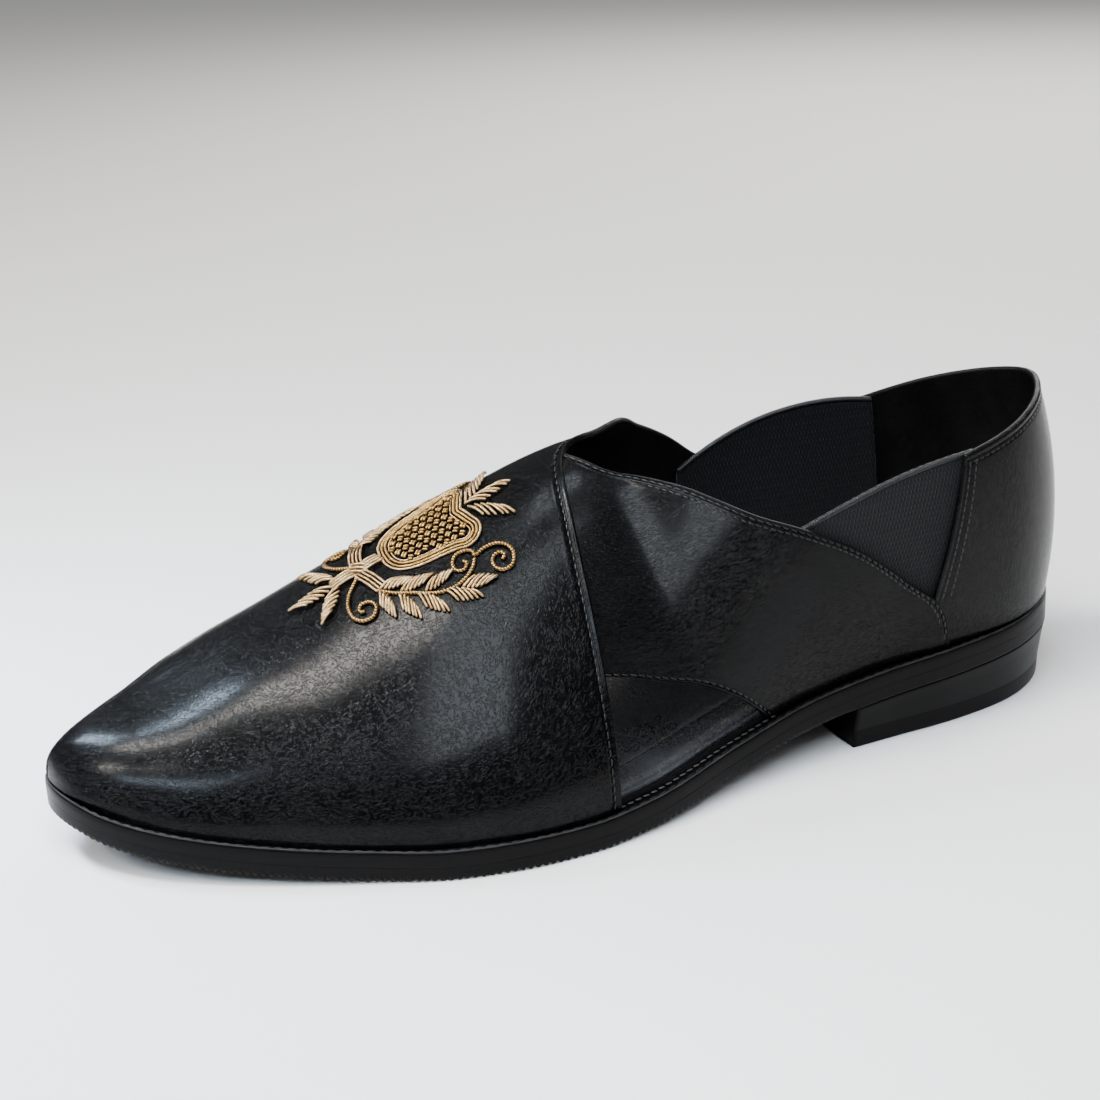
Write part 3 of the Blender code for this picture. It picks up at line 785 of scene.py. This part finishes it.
class Panel:
    def __init__(self, name, spot, base, lift, first, last, middle, columns, ends=()):
        self.name = name
        self.spot = spot          # turn and girth at a share of the way and along
        self.base = base
        self.lift = lift          # outer face's relief, from the two edges and the ends
        self.first = first        # distances of rows from the first edge
        self.last = last
        self.middle = middle
        self.columns = columns
        self.ends = ends

    def place(self, s, t, offset):
        turn, girth = self.spot(s, t)
        return onLast(turn, girth, self.base(turn, girth) + offset)

    def ruler(self, t):
        # distance from the first edge, for each column
        s = np.linspace(0, 1, 49)
        spots = self.place(s[:, None], t[None, :], np.zeros((49, len(t))))
        steps = np.linalg.norm(np.diff(spots, axis=0), axis=2)
        return s, np.concatenate((np.zeros((1, len(t))), np.cumsum(steps, axis=0)))

    def shares(self, t, distances, fromLast):
        # share of the way at fixed distances from an edge
        s, run = self.ruler(t)
        out = np.empty((len(distances), len(t)))
        for j in range(len(t)):
            want = run[-1, j] - np.asarray(distances) if fromLast else np.asarray(distances)
            out[:, j] = np.interp(want, run[:, j], s)
        return out

    def columnRun(self, t):
        half = self.place(np.full(len(t), 0.5), t, np.zeros(len(t)))
        return lengthsOf(half)

    def build(self, looks, nodes=()):
        t = np.linspace(0, 1, self.columns + 1)
        if len(self.ends):
            whole = self.columnRun(np.linspace(0, 1, 400))[-1]
            near = np.array(self.ends) / whole
            plain = np.linspace(near[-1], 1 - near[-1], self.columns)[1:-1]
            t = np.concatenate((near, plain, 1 - near[::-1]))
        start = self.shares(t, self.first, False)
        stop = self.shares(t, self.last, True)[::-1]
        share = np.linspace(0, 1, self.middle + 2)[1:-1, None]
        rows = np.concatenate((start, start[-1] + (stop[0] - start[-1]) * share, stop))
        s, run = self.ruler(t)
        whole = run[-1]
        distance = np.empty(rows.shape)
        for j in range(len(t)):
            distance[:, j] = np.interp(rows[:, j], s, run[:, j])
        away = whole[None] - distance
        across = self.columnRun(t)
        side = np.minimum(across, across[-1] - across)[None] + np.zeros(rows.shape)
        half = shoe["leather"] / 2
        pinch = roundOff(np.minimum(distance, away), half)
        if len(self.ends):
            pinch = pinch * roundOff(side, half)
        turn, girth = self.spot(rows, t[None, :])
        relief = self.lift(distance, away, side, turn, girth) * pinch
        outer = self.place(rows, t[None, :], half + half * pinch + relief)
        inner = self.place(rows, t[None, :], half - half * pinch)
        spots = np.concatenate((outer, inner[-2::-1]))
        along = np.broadcast_to(across[None], rows.shape)
        coords = np.stack((along, distance), axis=2)
        back = np.stack((along, -distance), axis=2)[-2::-1]
        coords = np.concatenate((coords, back))
        mesh = bmesh.new()
        addGrid(mesh, spots, coords, weld=False)
        mesh.verts.ensure_lookup_table()
        fold = len(rows) - 1
        for face in mesh.faces:
            level = sum(vert.index // len(t) for vert in face.verts) / 4
            if level > fold:
                face.material_index = 1
        bmesh.ops.remove_doubles(mesh, verts=mesh.verts, dist=weldReach)
        bmesh.ops.holes_fill(mesh, edges=mesh.edges, sides=0)
        finishPiece(mesh, self.name, looks, nodes)

    def edge(self, distance, start, stop, fromLast, count=500, height=0.0):
        # a line on the outer face at a distance from an edge
        t = np.linspace(start, stop, count)
        s = self.shares(t, [distance], fromLast)[0]
        turn, girth = self.spot(s, t)
        path = onLast(turn, girth, self.base(turn, girth) + shoe["leather"] + height)
        return path, normalAt(turn, girth)

    def end(self, distance, atLast, low, high, count=200, height=0.0):
        whole = self.columnRun(np.linspace(0, 1, 400))[-1]
        s = np.linspace(low, high, count)
        t = np.full(count, 1 - distance / whole if atLast else distance / whole)
        turn, girth = self.spot(s, t)
        path = onLast(turn, girth, self.base(turn, girth) + shoe["leather"] + height)
        return path, normalAt(turn, girth)


def roundOff(distance, radius):
    return np.sqrt(np.clip(1 - (1 - np.clip(distance / radius, 0, 1)) ** 2, 0, 1))


def coonsSpot(mouth, throat):
    def spot(s, t):
        s, t = np.broadcast_arrays(np.asarray(s, float), np.asarray(t, float))
        a = s[..., None]
        both = traceEdge(mouth, t) * (1 - a) + traceEdge(throat, t) * a
        return np.maximum(both[..., 0], 0), np.clip(both[..., 1], 0, 1)
    return spot


def toeBulge(turn, girth):
    # the lasted toe swells out over the welt
    low = np.minimum(girth, 1 - girth)
    return shoe["toeBulge"] * (1 - ease(shareAt(turn), 0.0, 0.075)) * ease(low, 0.0, 0.10)


def vampOffset(turn, girth):
    share = shareAt(turn)
    drop = ease(share, 0.57, 0.68) * ease(girth, 0.5, 0.62)
    proud = ease(girth, 0.42, 0.66) * ease(share, 0.0, 0.12) * (1 - ease(share, 0.15, 0.48))
    return vampBase - (vampBase - strapBase) * drop + shoe["mouthLift"] * proud + toeBulge(turn, girth)


def profile(table):
    xs = np.array([row[0] for row in table]) / 1000
    ys = np.array([row[1] for row in table]) / 1000
    return lambda distance: np.interp(distance, xs, ys)


throatRoll = profile((
    (0, 0.0), (0.4, 0.28), (0.7, 0.38), (1.0, 0.30), (1.2, 0.05), (1.4, -0.12), (1.6, -0.02),
    (1.9, -0.08), (2.2, -0.26), (2.5, -0.30), (2.8, -0.20), (3.2, -0.04), (3.8, 0.06), (5.2, 0.0)))
mouthRoll = profile((
    (0, 0.0), (0.4, 0.12), (0.8, 0.12), (1.2, -0.08), (1.5, -0.24), (1.8, -0.26), (2.1, -0.10),
    (2.6, 0.05), (4.0, 0.0)))
strapRoll = profile((
    (0, 0.0), (0.3, 0.20), (0.7, 0.22), (1.0, -0.06), (1.3, -0.22), (1.6, -0.24), (1.9, -0.10),
    (2.4, 0.05), (2.9, -0.02), (3.2, -0.04), (4.0, 0.0)))


def vampLift(distance, away, side, turn, girth):
    share = shareAt(turn)
    inField = ease(share, 0.1, 0.2) * ease(np.minimum(distance, away), 0.004, 0.03)
    soft = 0.00025 * np.sin(share * 34 + girth * 7) * inField
    return mouthRoll(distance) + throatRoll(away) + soft


def strapLift(distance, away, side, turn, girth):
    share = shareAt(turn)
    soft = 0.00016 * np.sin(share * 29 + girth * 11) * ease(np.minimum(distance, away), 0.004, 0.02)
    return mouthRoll(distance) + strapRoll(away) + soft


throatRows = np.array((
    0, 0.06, 0.16, 0.3, 0.5, 0.8, 1.1, 1.4, 1.65, 1.8, 1.95, 2.1, 2.3, 2.5, 2.7, 2.9, 3.1, 3.3,
    3.6, 4.0, 4.5, 5.2, 6.0)) / 1000
mouthRows = np.array((0, 0.06, 0.16, 0.3, 0.5, 0.8, 1.05, 1.3, 1.5, 1.7, 1.9, 2.1, 2.4, 2.8, 3.4, 4.0)) / 1000
vamp = Panel(
    "vamp_panel", coonsSpot(vampMouth, vampThroat), vampOffset, vampLift, mouthRows, throatRows, 64, 300)
cross = Panel(
    "cross_panel", coonsSpot(strapMouth, strapThroat), lambda turn, girth: strapBase + toeBulge(turn, girth),
    strapLift, mouthRows, mouthRows, 56, 300)
vamp.build([leather, lining], ["upper"])
cross.build([leather, lining])


def counterSpot(s, t):
    s, t = np.broadcast_arrays(np.asarray(s, float), np.asarray(t, float))
    front = turnAt(counterEdge["foot"] + (counterEdge["top"] - counterEdge["foot"]) * s)
    lateral = t <= 0.5
    turn = front + (1 - front) * np.where(lateral, 2 * t, 2 - 2 * t)
    rise = turnAt(counterEdge["top"])
    rear = np.clip((turn - rise) / (1 - rise), 0, 1)
    top = shoe["collar"] * (counterEdge["dip"] + (1 - counterEdge["dip"]) * np.sin(math.pi / 2 * rear))
    foot = lastPoint(turn, np.where(lateral, 0.0, 1.0))[..., 2]
    girth = girthAt(lateral, turn, foot + (top - foot) * s)
    return turn, np.where(s <= 0, np.where(lateral, 0.0, 1.0), girth)


collarRoll = profile(((0, 0.0), (0.5, 0.30), (1.2, 0.42), (1.9, 0.28), (2.3, -0.08), (2.5, -0.16), (2.8, 0.0),
                      (3.2, -0.10), (3.5, -0.14), (3.9, -0.02), (5.0, 0.0)))
frontRoll = profile(((0, 0.0), (0.4, 0.16), (0.8, 0.18), (1.1, -0.06), (1.6, -0.14), (2.0, -0.14), (2.5, 0.06),
                     (3.1, -0.06), (3.6, -0.14), (4.1, -0.02), (5.0, 0.0)))


def counterLift(distance, away, side, turn, girth):
    return collarRoll(away) + frontRoll(side)


counter = Panel("counter_panel", counterSpot, lambda turn, girth: np.zeros(np.shape(turn)), counterLift,
                np.array((0, 1.0)) / 1000, throatRows, 30, 200, ends=throatRows)
counter.build([leather, lining])
print("upper ready")

fineStitch = {"pitch": 0.0024, "long": 0.0019, "wide": 0.00055, "high": 0.00042}
denseStitch = {"pitch": 0.0021, "long": 0.0016, "wide": 0.00055, "high": 0.00042}
mesh = bmesh.new()
for panel, spec, distance, start, stop, fromLast in (
    (vamp, fineStitch, 0.0024, 0.01, 0.99, True),
    (cross, fineStitch, 0.0015, 0.01, 0.985, True),
    (cross, fineStitch, 0.0017, 0.20, 0.99, False),
    (cross, denseStitch, 0.0031, 0.62, 0.975, True),
    (counter, denseStitch, 0.0034, 0.02, 0.98, True),
):
    path, ups = panel.edge(distance, start, stop, fromLast, height=-0.00012)
    addStitches(mesh, path, ups, spec, slant=0.12)
for atLast in (False, True):
    for distance in (0.0018, 0.0036):
        path, ups = counter.end(distance, atLast, 0.3, 0.96, height=-0.0001)
        addStitches(mesh, path, ups, denseStitch)
finishPiece(mesh, "upper_stitches", [thread])
# mouth stitches in the thread with painted highlight
mesh = bmesh.new()
path, ups = vamp.edge(0.0015, 0.075, 0.99, False, height=-0.00008)
addStitches(mesh, path, ups, fineStitch, slant=0.12)
finishPiece(mesh, "mouth_stitches", [paintedLitThread])

# Gores: knitted elastic under the counter and the cross panel, with a twisted cord along the top.

goreTable = (
    {"side": "lateral", "front": 0.648, "frontFoot": 0.600, "frontTop": 0.715,
     "rear": 0.866, "rearFoot": 0.310, "rearTop": 0.880, "crown": 0.034},
    {"side": "medial", "front": 0.648, "frontFoot": 0.600, "frontTop": 0.740,
     "rear": 0.866, "rearFoot": 0.310, "rearTop": 0.880, "crown": 0.070},
)


goreCord = {"strands": 3, "spread": 0.00045, "radius": 0.00050, "pitch": 0.0024}


def goreSpot(row, h, t):
    turn = turnAt(row["front"] + (row["rear"] - row["front"]) * t)
    foot = row["frontFoot"] + (row["rearFoot"] - row["frontFoot"]) * t
    top = row["frontTop"] + (row["rearTop"] - row["frontTop"]) * t + row["crown"] * 4 * t * (1 - t)
    return turn, girthAt(row["side"] == "lateral", turn, (foot + (top - foot) * h) * shoe["collar"])


def twisted(path, ups, strands, radius, pitch):
    # strands that wind round a path
    tangents = unit(np.gradient(path, axis=0))
    sides = unit(np.cross(tangents, ups))
    ups = np.cross(sides, tangents)
    run = lengthsOf(path)
    for k in range(strands):
        angle = (run / pitch + k / strands) * 2 * np.pi
        away = sides * np.cos(angle)[:, None] + ups * np.sin(angle)[:, None]
        yield path + away * radius, away


for row in goreTable:
    h, t = np.meshgrid(np.linspace(0, 1, 41), np.linspace(0, 1, 61), indexing="ij")
    turn, girth = goreSpot(row, h, t)
    offset = -shoe["gap"] - shoe["gore"] / 2
    thick = shoe["gore"] / 2 * roundOff(np.minimum(h, 1 - h) * 0.03, 0.0006)
    outer, inner = onLast(turn, girth, offset + thick), onLast(turn, girth, offset - thick)
    steps = np.linalg.norm(np.diff(outer, axis=1), axis=2)
    u = np.cumsum(np.concatenate((np.zeros((41, 1)), steps), axis=1), axis=1)
    v = outer[..., 2]
    mesh = bmesh.new()
    addGrid(mesh, np.concatenate((outer, inner[-2::-1])), np.stack((np.concatenate((u, u[-2::-1])),
            np.concatenate((v, v[-2::-1]))), axis=2))
    bmesh.ops.holes_fill(mesh, edges=mesh.edges, sides=0)
    finishPiece(mesh, "gore_panel_" + row["side"], [elastic], ["gore_" + row["side"]])
    turn, girth = goreSpot(row, np.full(400, 1.0), np.linspace(0, 1, 400))
    path = evenly(onLast(turn, girth, np.full(400, offset)), 0.00035)
    ups = evenly(normalAt(turn, girth), 0.001)
    want, have = np.linspace(0, 1, len(path)), np.linspace(0, 1, len(ups))
    ups = np.stack([np.interp(want, have, ups[:, k]) for k in range(3)], 1)
    mesh = bmesh.new()
    for line, away in twisted(path, ups, goreCord["strands"], goreCord["spread"], goreCord["pitch"]):
        addTube(mesh, line, away, goreCord["radius"], around=7)
    finishPiece(mesh, "gore_cord_" + row["side"], [thread])
print("gores ready")

# Embroidery: metal wires on the vamp. Its chart has millimetres along the
# shoe from its middle and across from its axis, lateral side positive.

chart = {"along": 0.36, "girth": 0.40, "axis": -9.8, "low": -52.0, "high": 36.0, "wide": 36.0}


def chartTables():
    shares = np.linspace(0.17, 0.50, 200)
    axis = lastPoint(turnAt(shares), np.full(200, chart["girth"]))
    run = lengthsOf(axis) * 1000
    run -= np.interp(chart["along"], shares, run)
    alongs = np.arange(chart["low"], chart["high"] + 0.5, 1.0)
    acrosses = np.arange(-chart["wide"], chart["wide"] + 0.5, 1.0)
    share = np.interp(alongs, run, shares)
    girths = np.linspace(0.12, 0.80, 220)
    table = np.empty((len(alongs), len(acrosses)))
    for i, value in enumerate(share):
        turn = turnAt(value)
        line = onLast(np.full(220, turn), girths, vampOffset(turn, girths) + shoe["leather"])
        length = lengthsOf(line) * 1000
        length -= np.interp(chart["girth"], girths, length)
        table[i] = np.interp(-(acrosses + chart["axis"]), length, girths)
    return alongs, acrosses, share, table


alongs, acrosses, chartShare, chartGirth = chartTables()


def onVamp(points, height):
    # spots and normals for chart points, at a height over the leather
    points = np.asarray(points, float)
    share = np.interp(points[:, 0], alongs, chartShare)
    i = np.clip((points[:, 0] - alongs[0]).astype(int), 0, len(alongs) - 2)
    j = np.clip((points[:, 1] - acrosses[0]).astype(int), 0, len(acrosses) - 2)
    a = points[:, 0] - alongs[i]
    b = points[:, 1] - acrosses[j]
    girth = (chartGirth[i, j] * (1 - a) * (1 - b) + chartGirth[i + 1, j] * a * (1 - b)
             + chartGirth[i, j + 1] * (1 - a) * b + chartGirth[i + 1, j + 1] * a * b)
    turn = turnAt(share)
    lift = np.asarray(height, float) / 1000 + shoe["leather"]
    return onLast(turn, girth, vampOffset(turn, girth) + lift), normalAt(turn, girth)


def addWire(mesh, points, radius, height, spacing=0.35, around=7, closed=False):
    # a wire through chart points, in millimetres
    path = smoothPath(points, spacing) if len(points) > 2 else evenly(np.array(points, float), spacing)
    rise = np.broadcast_to(np.asarray(height, float), (len(path),))
    spots, ups = onVamp(path, rise)
    addTube(mesh, spots, ups, radius / 1000, around, closed=closed)


shieldHalf = ((-15.6, 0.0), (-15.1, 4.0), (-13.3, 7.3), (-9.5, 9.9), (-4.7, 11.3), (0.0, 12.0), (3.7, 12.6),
              (7.9, 13.6), (10.4, 12.6), (12.2, 10.4), (12.6, 8.0), (11.4, 4.4), (10.6, 2.0), (9.9, 0.0))
farHalf = 0.86  # width of the shield's far half over the near one's
shieldWhole = np.array(shieldHalf + tuple((a, -farHalf * u) for a, u in shieldHalf[-2:0:-1]))


def insideShield(point, margin):
    # true where a chart point lies inside the shield, in from its edge
    a, u = point
    line = np.vstack((shieldWhole, shieldWhole[:1]))
    crossings, nearest = False, math.inf
    for (a0, u0), (a1, u1) in zip(line, line[1:]):
        if (u0 > u) != (u1 > u) and a < (a1 - a0) * (u - u0) / (u1 - u0) + a0:
            crossings = not crossings
        size = (a1 - a0) ** 2 + (u1 - u0) ** 2
        share = np.clip(((a - a0) * (a1 - a0) + (u - u0) * (u1 - u0)) / size, 0, 1)
        nearest = min(nearest, math.hypot(a - a0 - (a1 - a0) * share, u - u0 - (u1 - u0) * share))
    return crossings and nearest > margin


def insetLine(distance):
    # the shield's outline, drawn in
    closed = np.vstack((shieldWhole[-1:], shieldWhole, shieldWhole[:1]))
    run = closed[2:] - closed[:-2]
    run /= np.linalg.norm(run, axis=1, keepdims=True)
    inward = np.stack((run[:, 1], -run[:, 0]), axis=1)
    inward *= np.sign((inward * -shieldWhole).sum(axis=1, keepdims=True))
    line = shieldWhole + inward * distance
    return np.vstack((line, line[:1]))


leafTable = (  # ends of each leaf's axis, and its width
    {"base": (-29.5, 0.0), "tip": (-43.5, 0.0), "width": 4.6},
    {"base": (-29.2, 1.0), "tip": (-37.0, 11.2), "width": 4.4},
    {"base": (-29.2, -1.0), "tip": (-36.6, -11.6), "width": 4.4},
    {"base": (10.8, 0.0), "tip": (25.0, 0.0), "width": 4.6},
    {"base": (10.8, 1.2), "tip": (22.4, 10.8), "width": 4.4},
    {"base": (10.8, -1.2), "tip": (21.6, -10.6), "width": 4.4},
)
branchLeaves = (
    {"base": (-19.2, 9.8), "tip": (-9.8, 13.2), "width": 3.9},
    {"base": (-14.6, 14.4), "tip": (-4.4, 15.6), "width": 4.1},
    {"base": (-8.4, 18.6), "tip": (1.2, 17.8), "width": 4.1},
    {"base": (1.6, 23.4), "tip": (11.6, 26.2), "width": 4.3},
    {"base": (-20.0, 11.0), "tip": (-18.0, 21.4), "width": 3.9},
    {"base": (-15.6, 15.6), "tip": (-11.6, 25.8), "width": 4.1},
    {"base": (-10.9, 18.6), "tip": (-3.8, 28.4), "width": 4.2},
    {"base": (-3.4, 23.0), "tip": (6.2, 29.6), "width": 4.3},
)
leafWire = {"radius": 0.46, "count": 6, "swell": 0.75}
stem = (
    (-20.4, 10.2), (-15.8, 14.6), (-11.6, 17.4), (-7.5, 20.3), (-3.1, 22.4), (2.1, 22.6),
    (5.9, 20.6), (7.7, 17.8))
smallScroll = (
    (7.7, 17.8), (7.6, 15.9), (5.5, 14.2), (2.8, 14.3), (1.3, 16.3), (1.9, 18.8), (4.0, 19.5),
    (5.1, 18.0), (4.0, 16.9))
largeScroll = (
    (7.9, 17.4), (10.9, 16.6), (14.2, 17.0), (16.8, 19.0), (17.9, 22.4), (16.6, 25.2),
    (13.6, 25.3), (11.7, 23.0), (12.2, 20.6), (14.2, 20.0), (15.4, 21.6), (14.2, 22.6))
toeScroll = (
    (-23.2, 2.2), (-24.9, 4.0), (-27.4, 6.8), (-29.0, 11.0), (-28.4, 15.2), (-26.2, 17.4),
    (-23.2, 17.4), (-21.9, 15.0), (-23.2, 12.6), (-25.6, 12.2), (-26.5, 13.9), (-25.0, 14.9))
farBranch = {"bend": 12.0, "near": 0.88, "beyond": 0.50}


def acrossAxis(u):
    # the far branch lies closer in
    bend = farBranch["bend"]
    return -min(u, bend) * farBranch["near"] - max(u - bend, 0.0) * farBranch["beyond"]


def mirrored(points):
    return tuple((a, acrossAxis(u)) for a, u in points)


def flank(leaf, at):
    # half width of a leaf at a share of its length
    return leaf["width"] / 2 * math.sin(math.pi * at ** 0.75) ** 0.8 if 0 < at < 1 else 0.0


def addLeaf(mesh, leaf, flip, lean):
    # slanted wires laid side by side, cut to the leaf's outline
    base = np.array(leaf["base"], float)
    tip = np.array(leaf["tip"], float)
    if flip:
        base[1], tip[1] = acrossAxis(base[1]), acrossAxis(tip[1])
    axis = tip - base
    size = float(np.linalg.norm(axis))
    axis /= size
    side = np.array((-axis[1], axis[0])) * lean
    count = leafWire["count"]
    for k in range(count):
        share = (k + 0.5) / count
        # each wire starts on one flank near the base and ends on the other nearer the tip
        start = share * 0.72 - 0.04
        stop = min(1.03, start + 0.40 + 0.05 * random.random())
        a = base + axis * size * max(start, 0.0) - side * flank(leaf, start + 0.04) * 0.92
        b = base + axis * size * stop + side * flank(leaf, stop - 0.06) * 0.86
        middle = (a + b) / 2 - axis * 0.35 - side * 0.25
        steps = max(5, int(np.linalg.norm(b - a) / 0.4))
        path = smoothPath((a, middle, b), np.linalg.norm(b - a) / steps)
        rise = 0.55 + leafWire["swell"] * np.sin(np.linspace(0, math.pi, len(path)))
        spots, ups = onVamp(path, rise)
        addTube(mesh, spots, ups, leafWire["radius"] / 1000, 7, 0.95)


def addRibbon(mesh, points, wires, radius, height, arch):
    # a flat band of wires side by side
    path = smoothPath(points, 0.4)
    tangents = unit(np.gradient(path, axis=0))
    sides = np.stack((-tangents[:, 1], tangents[:, 0]), axis=1)
    for k in range(wires):
        away = (k - (wires - 1) / 2) * radius * 2.5
        rise = height + arch * np.sin(np.linspace(0, math.pi, len(path)))
        spots, ups = onVamp(path + sides * away, rise)
        addTube(mesh, spots, ups, radius / 1000, 7)

mesh = bmesh.new()
for leaf in leafTable:
    addLeaf(mesh, leaf, False, 1 if leaf["tip"][1] >= 0 else -1)
for flip in (False, True):
    for k, leaf in enumerate(branchLeaves):
        outerSide = k >= 4
        addLeaf(mesh, leaf, flip, (1 if outerSide else -1) * (-1 if flip else 1))
finishPiece(mesh, "embroidery_leaves", [champagne])

mesh = bmesh.new()
for points, height, arch in (
    (((-31.0, 0.0), (-27.6, 0.3), (-24.4, 0.2), (-21.6, 0.0)), 0.55, 0.9),
    (((-22.4, 0.0), (-19.6, 0.3), (-16.6, 0.0), (-15.2, -0.6)), 0.6, 0.9),
    (((-18.6, 10.6), (-20.4, 6.6), (-21.8, 3.2), (-22.2, 0.4)), 0.6, 1.1),
    (((-18.6, -10.6), (-20.4, -6.6), (-21.8, -3.2), (-22.2, -0.4)), 0.6, 1.1),
):
    addRibbon(mesh, points, 4, 0.42, height, arch)
addRibbon(mesh, ((-24.2, -1.6), (-22.2, 0.0), (-20.2, 1.6)), 3, 0.50, 1.4, 0.3)
finishPiece(mesh, "embroidery_knot", [champagne])

mesh = bmesh.new()
addWire(mesh, insetLine(0.2), 0.43, 0.50, closed=True)
addWire(mesh, insetLine(3.25), 0.28, 0.30, closed=True)
finishPiece(mesh, "embroidery_outline", [champagne])

mesh = bmesh.new()
addWire(mesh, insetLine(1.22), 0.43, 0.40, closed=True)
addWire(mesh, insetLine(2.26), 0.43, 0.50, closed=True)
block = 2.4
for i in range(-9, 9):
    for j in range(-7, 8):
        centre = np.array(((i + 0.5 * (j % 2)) * block * 0.98, j * block * 0.9))
        if not insideShield(centre, 3.3):
            continue
        for r in (-0.44, 0.44):
            way = np.array((0.80, 0.60)) if (i + j) % 2 else np.array((0.75, -0.66))
            mid = centre + np.array((-way[1], way[0])) * r
            path = np.array([mid - way * 0.95, mid, mid + way * 0.95])
            spots, ups = onVamp(smoothPath(path, 0.3), 0.45)
            rise = np.sin(np.linspace(0, math.pi, len(spots)))[:, None] * ups * 0.00035
            addTube(mesh, spots + rise, ups, 0.00042, 7)
finishPiece(mesh, "embroidery_basket", [goldWire])

mesh = bmesh.new()
for line in (smallScroll, largeScroll, toeScroll, stem):
    for points in (line, mirrored(line)):
        addWire(mesh, points, 0.62, 0.55, spacing=0.3, around=8)
finishPiece(mesh, "embroidery_scrolls", [antique])
print("embroidery ready")

# Stage, light and camera.

floorLook = Look("paleFloor", Roughness=0.9, Specular_IOR_Level=0.1)
floorTone = floorLook.noise(floorLook.place(), 0.8, 2.0, 0.5)
floorLook.set(Base_Color=floorLook.mix(floorTone, shade(0.83, 0.82, 0.81), shade(0.86, 0.85, 0.84)))
mesh = bmesh.new()
bmesh.ops.create_grid(mesh, x_segments=2, y_segments=2, size=12.0)
floorData = bpy.data.meshes.new("floor")
mesh.to_mesh(floorData)
mesh.free()
floorData.materials.append(floorLook.material)
floor = bpy.data.objects.new("floor", floorData)
bpy.context.scene.collection.objects.link(floor)

world = bpy.data.worlds.new("studio")
bpy.context.scene.world = world
world.use_nodes = True
sky = world.node_tree
way = sky.nodes.new("ShaderNodeTexCoord")
split = sky.nodes.new("ShaderNodeSeparateXYZ")
sky.links.new(way.outputs["Generated"], split.inputs[0])
glow = Signal(sky, split.outputs[2]).between(0.10, 0.95) * 0.14 + 0.22
sky.nodes["Background"].inputs[0].default_value = (1.0, 1.0, 1.0, 1.0)
sky.links.new(glow.socket, sky.nodes["Background"].inputs[1])


def placed(x, y, z, spot):
    # a matrix from three axes and a place
    return Matrix((
        (x.x, y.x, z.x, spot.x), (x.y, y.y, z.y, spot.y), (x.z, y.z, z.z, spot.z), (0.0, 0.0, 0.0, 1.0)))


def softbox(box):
    # a panel of light with its long side along a given way
    spot, aim, along = (Vector(box[key]) for key in ("spot", "aim", "along"))
    data = bpy.data.lights.new(box["name"], "AREA")
    data.shape = "RECTANGLE"
    data.size, data.size_y = box["size"]
    data.energy = box["glow"] * math.pi * box["size"][0] * box["size"][1]
    data.color = box["colour"]
    z = (spot - aim).normalized()
    y = z.cross(along).normalized()
    x = y.cross(z)
    made = bpy.data.objects.new(box["name"], data)
    made.matrix_world = placed(x, y, z, spot)
    made.visible_camera = False
    bpy.context.scene.collection.objects.link(made)


cool = (0.66, 0.82, 1.0)
boxes = (  # each shines at one part of the shoe, from a point on the line of its mirrored view
    {"name": "toeCool", "aim": (-0.006, -0.130, 0.033), "spot": (-0.142, -0.262, 0.261),
     "along": (0.83, 0.17, 0.53), "size": (0.120, 0.046), "glow": 105.0, "colour": cool},
    {"name": "toeWarm", "aim": (-0.005, -0.125, 0.034), "spot": (0.138, -0.862, 0.826),
     "along": (1.0, 0.0, 0.0), "size": (0.15, 0.19), "glow": 50.0, "colour": (1.0, 0.93, 0.84)},
    {"name": "lowCool", "aim": (-0.005, -0.125, 0.034), "spot": (0.445, -0.850, 0.738),
     "along": (1.0, 0.6, 0.0), "size": (0.28, 0.11), "glow": 40.0, "colour": cool},
    {"name": "band", "aim": (0.013, -0.080, 0.046), "spot": (-0.005, -0.512, 1.140),
     "along": (0.83, 0.51, 0.21), "size": (0.54, 0.19), "glow": 56.0, "colour": (1.0, 0.94, 0.87)},
    {"name": "overhead", "aim": (0.0, -0.01, 0.08), "spot": (-0.078, -0.050, 1.380),
     "along": (0.0, 1.0, 0.0), "size": (0.16, 0.26), "glow": 26.0, "colour": (0.80, 0.90, 1.0)},
    {"name": "strapSide", "aim": (0.013, 0.010, 0.075), "spot": (0.265, -0.100, 0.430),
     "along": (0.8, -0.1, -0.6), "size": (0.40, 0.20), "glow": 15.0, "colour": (0.82, 0.91, 1.0)},
    {"name": "behind", "aim": (0.0, 0.0, 0.03), "spot": (-0.960, 0.960, 0.880),
     "along": (1.0, 1.0, 0.0), "size": (1.10, 0.70), "glow": 7.0, "colour": (1.0, 0.98, 0.95)},
)
for box in boxes:
    softbox(box)

camera = bpy.data.cameras.new("view")
camera.lens = 68.12
camera.sensor_width = 36.0
camera.clip_start = 0.01
camera.clip_end = 60.0
viewer = bpy.data.objects.new("view", camera)
bpy.context.scene.collection.objects.link(viewer)
bpy.context.scene.camera = viewer
eye = Vector((0.50253, -0.19117, 0.26512))
back = Vector((0.88241, -0.31456, 0.34988)).normalized()
right = (-back).cross(Vector((0.0, 0.0, 1.0))).normalized()
up = back.cross(right)
roll = -0.05
tilted = right * math.cos(roll) + up * math.sin(roll)
upward = up * math.cos(roll) - right * math.sin(roll)
viewer.matrix_world = placed(tilted, upward, back, eye)
print("stage ready")

bpy.context.view_layer.update()
